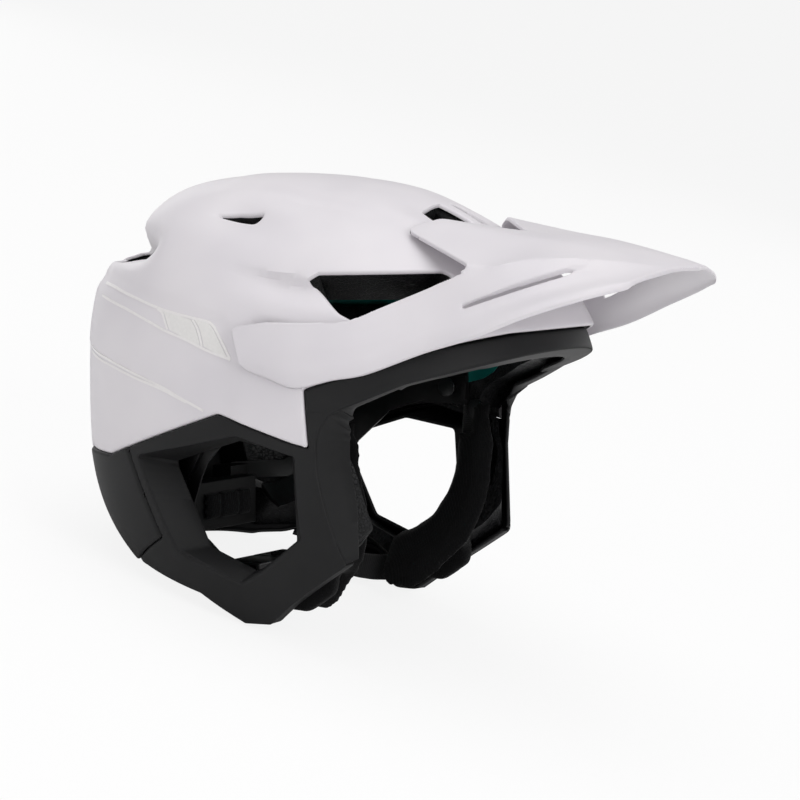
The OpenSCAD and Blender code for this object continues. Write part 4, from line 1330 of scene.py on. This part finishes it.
def makeRibbon(name, rows, thickness, material):
    # A flat woven band along two edges, with rounded selvedges and its run in a UV map.
    across = np.array([0, 0.035, 0.12, 0.5, 0.88, 0.965, 1, 0.965, 0.88, 0.5, 0.12, 0.035])
    rise = np.array([0, 0.75, 1, 1.05, 1, 0.75, 0, -0.75, -1, -1.05, -1, -0.75]) * thickness / 2
    along = np.gradient(rows.mean(1), axis=0)
    face = unit(evened(unit(np.cross(along, rows[:, 1] - rows[:, 0])), 2, False))
    n, m = len(rows), len(across)
    points = (rows[:, None, 0] * (1 - across[None, :, None]) + rows[:, None, 1] * across[None, :, None]
              + face[:, None] * rise[None, :, None]).reshape(-1, 3)
    faces = [(k * m + j, k * m + (j + 1) % m, (k + 1) * m + (j + 1) % m, (k + 1) * m + j)
             for k in range(n - 1) for j in range(m)]
    faces += [tuple(range(m))[::-1], tuple((n - 1) * m + j for j in range(m))]
    obj = makeObject(name, points, faces, material, 60)
    editMesh(obj.data, faceOut)
    run = np.concatenate([[0], np.cumsum(np.linalg.norm(np.diff(rows.mean(1), axis=0), axis=1))]) / 1000
    wide = np.linalg.norm(rows[:, 1] - rows[:, 0], axis=1) / 1000
    layer = obj.data.uv_layers.new(name="run")
    for loop in obj.data.loops:
        k, j = divmod(loop.vertex_index, m)
        layer.data[loop.index].uv = (run[k], across[j] * wide[k])
    return obj


threadSpec = {"Spacing": 0.0026, "Length": 0.0021, "Thickness": 0.00045}


def startGroup(name, inputs, output):
    # A geometry node group with named inputs, and the identifier of each input.
    tree = bpy.data.node_groups.new(name, "GeometryNodeTree")
    sockets = {label: tree.interface.new_socket(label, in_out="INPUT", socket_type="NodeSocket" + kind).identifier
               for label, kind in inputs}
    tree.interface.new_socket(output, in_out="OUTPUT", socket_type="NodeSocketGeometry")
    return tree, sockets, addNode(tree, "NodeGroupInput").outputs


def endGroup(tree, geometry, material, output):
    # Ends a group in real, smooth geometry with its material.
    real = addNode(tree, "GeometryNodeRealizeInstances", {}, [("Geometry", geometry)])
    soft = addNode(tree, "GeometryNodeSetShadeSmooth", {}, [("Geometry", real.outputs["Geometry"])])
    finish = addNode(tree, "GeometryNodeSetMaterial", {},
                     [("Geometry", soft.outputs["Geometry"]), ("Material", material)])
    addNode(tree, "NodeGroupOutput", {}, [(output, finish.outputs["Geometry"])])


def runGroup(obj, tree, sockets, values):
    # The plain mesh that a group makes of an object, which is then removed.
    maker = obj.modifiers.new(tree.name, "NODES")
    maker.node_group = tree
    for label, value in values.items():
        maker[sockets[label]] = value
    mesh = bpy.data.meshes.new_from_object(obj.evaluated_get(bpy.context.evaluated_depsgraph_get()))
    bpy.data.objects.remove(obj)
    return mesh


def makeThreadTree():
    # Stitches along a curve: it is cut into even steps, and each step gets one thread laid along it.
    tree, sockets, given = startGroup("stitchRow", [
        ("Line", "Geometry"), ("Spacing", "Float"), ("Length", "Float"), ("Thickness", "Float"),
        ("Thread", "Material")], "Stitches")
    steps = addNode(tree, "GeometryNodeResampleCurve", {"mode": "LENGTH"},
                    [("Curve", given["Line"]), ("Length", given["Spacing"])])
    thread = addNode(tree, "GeometryNodeMeshUVSphere", {"Segments": 8, "Rings": 5, "Radius": 1.0})
    run = addNode(tree, "GeometryNodeInputTangent")
    lay = addNode(tree, "FunctionNodeAlignRotationToVector", {"axis": "X"}, [("Vector", run.outputs["Tangent"])])
    halfLength, halfThick = (addNode(tree, "ShaderNodeMath", {"operation": "MULTIPLY", 1: 0.5}, [(0, given[label])])
                             for label in ("Length", "Thickness"))
    size = addNode(tree, "ShaderNodeCombineXYZ", {}, [("X", halfLength.outputs[0]), ("Y", halfThick.outputs[0]),
                                                      ("Z", halfThick.outputs[0])])
    laid = addNode(tree, "GeometryNodeInstanceOnPoints", {},
                   [("Points", steps.outputs["Curve"]), ("Instance", thread.outputs["Mesh"]),
                    ("Rotation", lay.outputs["Rotation"]), ("Scale", size.outputs["Vector"])])
    endGroup(tree, laid.outputs["Instances"], given["Thread"], "Stitches")
    return tree, sockets


threadTree, threadSockets = makeThreadTree()


def makeStitches(name, lines, material):
    # Curves through the given lines, turned into one mesh of stitches.
    curve = bpy.data.curves.new(name + "Line", "CURVE")
    curve.dimensions = "3D"
    for line in lines:
        where = onTable(line)
        spline = curve.splines.new("POLY")
        spline.points.add(len(where) - 1)
        for point, spot in zip(spline.points, where):
            point.co = (*spot, 1.0)
    guide = addObject(name + "Line", curve)
    mesh = runGroup(guide, threadTree, threadSockets, {**threadSpec, "Thread": material})
    print(name, len(mesh.polygons), "faces")
    return addObject(name, mesh)


def makeStraps():
    for side, label in sides:
        rows = strapRows(side)
        strap = makeRibbon(label + "ChinWebbing", rows, strapSpec["thickness"], webbing)
        standFor(strap, "strap_" + label)
        # a bar of stitches where the webbing is sewn back on itself behind the buckle
        along = np.gradient(rows.mean(1), axis=0)
        face = unit(np.cross(along, rows[:, 1] - rows[:, 0])) * (strapSpec["thickness"] / 2 + 0.12)
        lines = []
        for share in (0.14, 0.86):
            middle = rows[:, 0] * (1 - share) + rows[:, 1] * share
            for way in (-1, 1):
                lines.append((middle + face * way)[-16:-3])
        stitches = makeStitches(label + "StrapStitches", lines, bondedThread)
        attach(stitches, "helmet")
    print("straps made")


makeStraps()


# Moulded parts, with the small radius of their tools on each edge

mouldedParts = {
    # the CAD node, the radius in millimetres and the material
    "leftCradleArm": ("cradle_arm_left", 0.45, springNylon),
    "rightCradleArm": ("cradle_arm_right", 0.45, springNylon),
    "leftFitBelt": ("belt_left", 0.3, springNylon), "rightFitBelt": ("belt_right", 0.3, springNylon),
    "dialHousing": ("dial_housing", 0.8, mouldedNylon), "cradleFace": ("cradle_cover", 0.6, mouldedNylon),
    "pinionShaft": ("dial_pinion", 0.2, acetal), "templePins": ("temple_pins", 0.35, acetal),
    "visorPivots": ("visor_screws", 0.4, acetal), "strapAnchors": ("strap_anchors", 0.4, acetal),
    "rubberTethers": ("liner_tethers", 0.35, softRubber), "buckleSocket": ("buckle_socket", 1.1, acetal),
    "buckleTongue": ("buckle_tongue", 1.1, acetal), "releaseTab": ("buckle_tab", 0.6, acetal),
}


def roundedCopy(name, node, radius, material):
    obj = copyNode(node, name)
    editMesh(obj.data, lambda bm: bmesh.ops.dissolve_limit(
        bm, angle_limit=math.radians(0.5), verts=bm.verts, edges=bm.edges))
    obj.data.shade_smooth()
    obj.data.materials.append(material)
    edge = obj.modifiers.new("toolRadius", "BEVEL")
    edge.width, edge.segments, edge.limit_method = radius / 1000, 3, "ANGLE"
    edge.angle_limit = math.radians(32)
    edge.harden_normals = True
    settle(obj)
    standFor(obj, node)
    return obj


for name, (node, radius, material) in mouldedParts.items():
    roundedCopy(name, node, radius, material)
print("moulded parts rounded")


# The dial: a lathed knob with grip ribs round it

knobSpec = {"ribs": {"Ribs": 12, "Radius": 0.0126, "Middle": 0.0071, "Rib size": (0.0018, 0.0026, 0.0126)},
            "profile": [(0, 0.6), (7.6, 0.6), (8.4, 0.1), (9.4, 0), (11.2, 0.25), (12.4, 1.1), (12.9, 2.4), (13, 3.6),
                        (13, 13), (12.7, 14), (12, 14.5), (3.05, 14.5), (3.05, 1.8), (0, 1.8)]}


def makeKnobTree():
    # The turned body with one rounded rib after another round it.
    tree, sockets, given = startGroup("gripRibs", [
        ("Body", "Geometry"), ("Ribs", "Int"), ("Radius", "Float"), ("Middle", "Float"), ("Rib size", "Vector"),
        ("Rubber", "Material")], "Knob")
    ring = addNode(tree, "GeometryNodeMeshCircle", {}, [("Vertices", given["Ribs"]), ("Radius", given["Radius"])])
    rib = addNode(tree, "GeometryNodeMeshUVSphere", {"Segments": 12, "Rings": 8, "Radius": 0.5})
    spot = addNode(tree, "GeometryNodeInputPosition")
    lay = addNode(tree, "FunctionNodeAlignRotationToVector", {"axis": "X"}, [("Vector", spot.outputs["Position"])])
    laid = addNode(tree, "GeometryNodeInstanceOnPoints", {},
                   [("Points", ring.outputs["Mesh"]), ("Instance", rib.outputs["Mesh"]),
                    ("Rotation", lay.outputs["Rotation"]), ("Scale", given["Rib size"])])
    height = addNode(tree, "ShaderNodeCombineXYZ", {}, [("Z", given["Middle"])])
    moved = addNode(tree, "GeometryNodeTransform", {},
                    [("Geometry", laid.outputs["Instances"]), ("Translation", height.outputs["Vector"])])
    whole = addNode(tree, "GeometryNodeJoinGeometry")
    tree.links.new(given["Body"], whole.inputs[0])
    tree.links.new(moved.outputs["Geometry"], whole.inputs[0])
    endGroup(tree, whole.outputs["Geometry"], given["Rubber"], "Knob")
    return tree, sockets


def makeKnob():
    profile = np.array(knobSpec["profile"], float) / 1000
    turns, points, faces = 72, [], []
    for r, h in profile:
        for k in range(turns if r else 1):
            a = 2 * math.pi * k / turns
            points.append((r * math.cos(a), r * math.sin(a), h))
    starts = np.cumsum([0] + [turns if r else 1 for r, _ in profile])
    for row in range(len(profile) - 1):
        a, b = starts[row], starts[row + 1]
        for k in range(turns):
            j = (k + 1) % turns
            if not profile[row][0]:
                faces.append((a, b + j, b + k))
            elif not profile[row + 1][0]:
                faces.append((a + k, a + j, b))
            else:
                faces.append((a + k, a + j, b + j, b + k))
    mesh = bpy.data.meshes.new("dialKnobBody")
    mesh.from_pydata(points, [], faces)
    editMesh(mesh, faceOut)
    mesh.shade_smooth()
    mesh.set_sharp_from_angle(angle=math.radians(50))
    made = runGroup(addObject("dialKnobBody", mesh), *makeKnobTree(), {**knobSpec["ribs"], "Rubber": softRubber})
    p = coords(made) * 1000
    # the knob's axis runs forward from its rear face
    turned = np.stack([p[:, 2] - 142, p[:, 1], -p[:, 0] - 60], 1)
    made.vertices.foreach_set("co", onTable(turned).ravel())
    made.name = "ribbedDialKnob"
    made.shade_smooth()
    made.set_sharp_from_angle(angle=math.radians(50))
    standFor(addObject("ribbedDialKnob", made), "dial_knob")
    print("dial knob made,", len(made.polygons), "faces")


makeKnob()


# Film on the rear side panel: fine double lines and two blocks with slanted ends

stripeSpec = {
    "top": [(-134, 61), (-123, 59.5), (-102, 54.5), (-83, 49.5), (-66, 46.2), (-54, 44.2), (-49.5, 42.5),
            (-46.5, 39.5), (-41, 31.5), (-37, 25.5)],
    "bottom": [(-134, 54.6), (-129, 53.6), (-108, 48.6), (-90, 42.8), (-79, 38.8), (-65, 34.6), (-52, 29.8),
               (-37, 25.5)],
    "slants": [[(-85, 49.4), (-81.5, 47.5), (-79.5, 44), (-77, 39.3)],
               [(-61.5, 44.6), (-58.5, 41), (-56, 36), (-54.5, 31.5)]],
    "low": [(-146, 27.5), (-133, 24.4), (-119, 21.4), (-98, 15.5), (-80, 10.2), (-66, 4.4), (-53, -0.6)],
    "lowTwin": [(-146, 25), (-133, 21.9), (-119, 19), (-98, 13.6), (-80, 8.9), (-64, 3.2)],
    "lineWidth": 1.3, "rise": 0.3, "sink": 0.3,
}


def filmGrid(rows, side, points, faces):
    # One closed sheet of film over a grid of side view points.
    rows = np.array(rows, float)
    n, m, _ = rows.shape
    top = onLayer(rows[..., 0], rows[..., 1], side, -stripeSpec["rise"], 0.0, True).reshape(-1, 3)
    low = onLayer(rows[..., 0], rows[..., 1], side, stripeSpec["sink"], 0.0, True).reshape(-1, 3)
    base = sum(len(p) for p in points)
    quads = [(k * m + j, k * m + j + 1, (k + 1) * m + j + 1, (k + 1) * m + j)
             for k in range(n - 1) for j in range(m - 1)]
    under = [tuple(v + n * m for v in q[::-1]) for q in quads]
    loop = ([j for j in range(m)] + [k * m + m - 1 for k in range(1, n)]
            + [(n - 1) * m + j for j in range(m - 2, -1, -1)] + [k * m for k in range(n - 2, 0, -1)])
    walls = [(loop[k - 1], loop[k], loop[k] + n * m, loop[k - 1] + n * m)[::-1] for k in range(len(loop))]
    faces += [tuple(v + base for v in f) for f in quads + under + walls]
    points += [top, low]


def filmLine(line, width):
    # A band of even width along a side view line.
    path = smoothLine(line, 1.6)
    run = np.gradient(path, axis=0)
    run /= np.linalg.norm(run, axis=1, keepdims=True)
    off = np.stack([-run[:, 1], run[:, 0]], 1) * width / 2
    return np.stack([path - off, path, path + off], 1)


def filmBlock(left, right, rows=14, columns=16):
    # The field between two slanted lines.
    at = np.linspace(0, 1, rows)
    a, b = (np.stack([np.interp(at, np.linspace(0, 1, len(line)), line[:, c]) for c in (0, 1)], 1)
            for line in (smoothLine(left, 0.5), smoothLine(right, 0.5)))
    s = np.linspace(0, 1, columns)[:, None, None]
    return np.swapaxes(a[None] * (1 - s) + b[None] * s, 0, 1)


def makeStripes(side, label):
    # Two sheets for one side: its fine lines, and the blocks drawn in a little from their slanted ends.
    spec = stripeSpec
    first, second = (np.array(line, float) for line in spec["slants"])
    end = np.array(spec["top"][5:], float)
    lines, blocks = ([], []), ([], [])
    for line in (spec["top"], spec["bottom"], first, second, spec["low"], spec["lowTwin"]):
        filmGrid(filmLine(line, spec["lineWidth"]), side, *lines)
    for left, right, pull in ((first, second, 1.2), (second, end, 1.4)):
        filmGrid(filmBlock(left + (1.2, 0), right - (pull, 0)), side, *blocks)
    for kind, (points, faces), finish in (("Lines", lines, film), ("Blocks", blocks, filmPale)):
        piece = makeObject(label + "Film" + kind, np.vstack(points), faces, finish, 40)
        editMesh(piece.data, faceOut)
        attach(piece, "helmet")


for side, label in sides:
    makeStripes(side, label)
print("film laid")


# Camera, floor and light

photoView = {"azimuth": 30.0, "elevation": 4.3, "distance": 1.5625, "lens": 135.0}


def makeCamera():
    # A long lens from the right front, turned with the helmet's lean. Returns that turn.
    a, e = math.radians(photoView["azimuth"]), math.radians(photoView["elevation"])
    back = Vector((math.sin(a) * math.cos(e), -math.cos(a) * math.cos(e), math.sin(e)))
    right = Vector((math.cos(a), math.sin(a), 0))
    up = back.cross(right)
    turn = Matrix.Rotation(-stand["tilt"], 3, "Y")
    axes = turn @ Matrix((right, up, back)).transposed()
    data = bpy.data.cameras.new("photoCamera")
    data.lens, data.sensor_width = photoView["lens"], 36.0
    data.clip_start, data.clip_end = 0.05, 50
    camera = addObject("photoCamera", data)
    centre = Vector((stand["x"] / 1000, 0, stand["z"] / 1000))
    place = centre + (turn @ back) * photoView["distance"]
    camera.matrix_world = Matrix.Translation(place) @ axes.to_4x4()
    bpy.context.scene.camera = camera
    return turn


photoTurn = makeCamera()


def addLamp(name, place, size, power, aim=(0, 0, 0.1)):
    # A soft area lamp, placed in the photograph's pose and turned with the camera.
    data = bpy.data.lights.new(name, "AREA")
    data.shape, data.size, data.energy = "DISK", size, power
    lamp = addObject(name, data)
    spot = photoTurn @ Vector(place) + Vector((stand["x"] / 1000, 0, stand["z"] / 1000))
    lamp.location = spot
    lamp.rotation_euler = (Vector(aim) - spot).to_track_quat("-Z", "Y").to_euler()


lightPlan = [
    ("topSoftbox", (0.15, -0.1, 1.5), 1.6, 11.4),
    ("keySoftbox", (-0.2, -1.7, 0.7), 1.2, 4.6),
    ("frontSoftbox", (1.6, -0.6, 0.5), 1.0, 10.6),
    ("rearSoftbox", (-1.5, 0.9, 0.8), 1.1, 3.7),
    ("farSoftbox", (0.3, 1.7, 0.5), 1.2, 4.5),
]
for name, place, size, power in lightPlan:
    addLamp(name, place, size, power)


def makeFloor():
    mesh = bpy.data.meshes.new("studioFloor")
    h = 6.0
    mesh.from_pydata([(-h, -h, 0), (h, -h, 0), (h, h, 0), (-h, h, 0)], [], [(0, 1, 2, 3)])
    floor = addObject("studioFloor", mesh)
    # White paper, matt and even, which shows pure white to the camera but for the shadow.
    material, tree, surface, _, (grain,) = startMaterial(
        "whitePaperSweep", "#F4F4F4", {"Roughness": 0.8}, [(400.0, 2.0)])
    finishSurface(tree, surface, None, None, (grain, 0.05, 0.0001))
    rays = addNode(tree, "ShaderNodeLightPath")
    share = addNode(tree, "ShaderNodeMath", {"operation": "MULTIPLY", 1: 0.86}, [(0, rays.outputs["Is Camera Ray"])])
    white = addNode(tree, "ShaderNodeEmission", {"Color": (1, 1, 1, 1), "Strength": 1.0})
    mix = addNode(tree, "ShaderNodeMixShader", {},
                  [(0, share.outputs[0]), (1, surface.outputs[0]), (2, white.outputs[0])])
    tree.links.new(mix.outputs[0], tree.nodes["Material Output"].inputs["Surface"])
    mesh.materials.append(material)


makeFloor()


def makeWorld():
    world = bpy.data.worlds.new("studioWorld")
    bpy.context.scene.world = world
    world.use_nodes = True
    tree = world.node_tree
    tree.nodes.clear()
    rays = addNode(tree, "ShaderNodeLightPath")
    soft = addNode(tree, "ShaderNodeBackground", {"Color": (1, 1, 1, 1), "Strength": 0.40})
    white = addNode(tree, "ShaderNodeBackground", {"Color": (1, 1, 1, 1), "Strength": 1.0})
    seen = addNode(tree, "ShaderNodeMath", {"operation": "MAXIMUM"},
                   [(0, rays.outputs["Is Camera Ray"]), (1, rays.outputs["Is Transmission Ray"])])
    mix = addNode(tree, "ShaderNodeMixShader", {},
                  [(0, seen.outputs[0]), (1, soft.outputs[0]), (2, white.outputs[0])])
    addNode(tree, "ShaderNodeOutputWorld", {}, [("Surface", mix.outputs[0])])


makeWorld()
scene = bpy.context.scene
scene.view_settings.view_transform = "Standard"
print("camera, floor and light set")
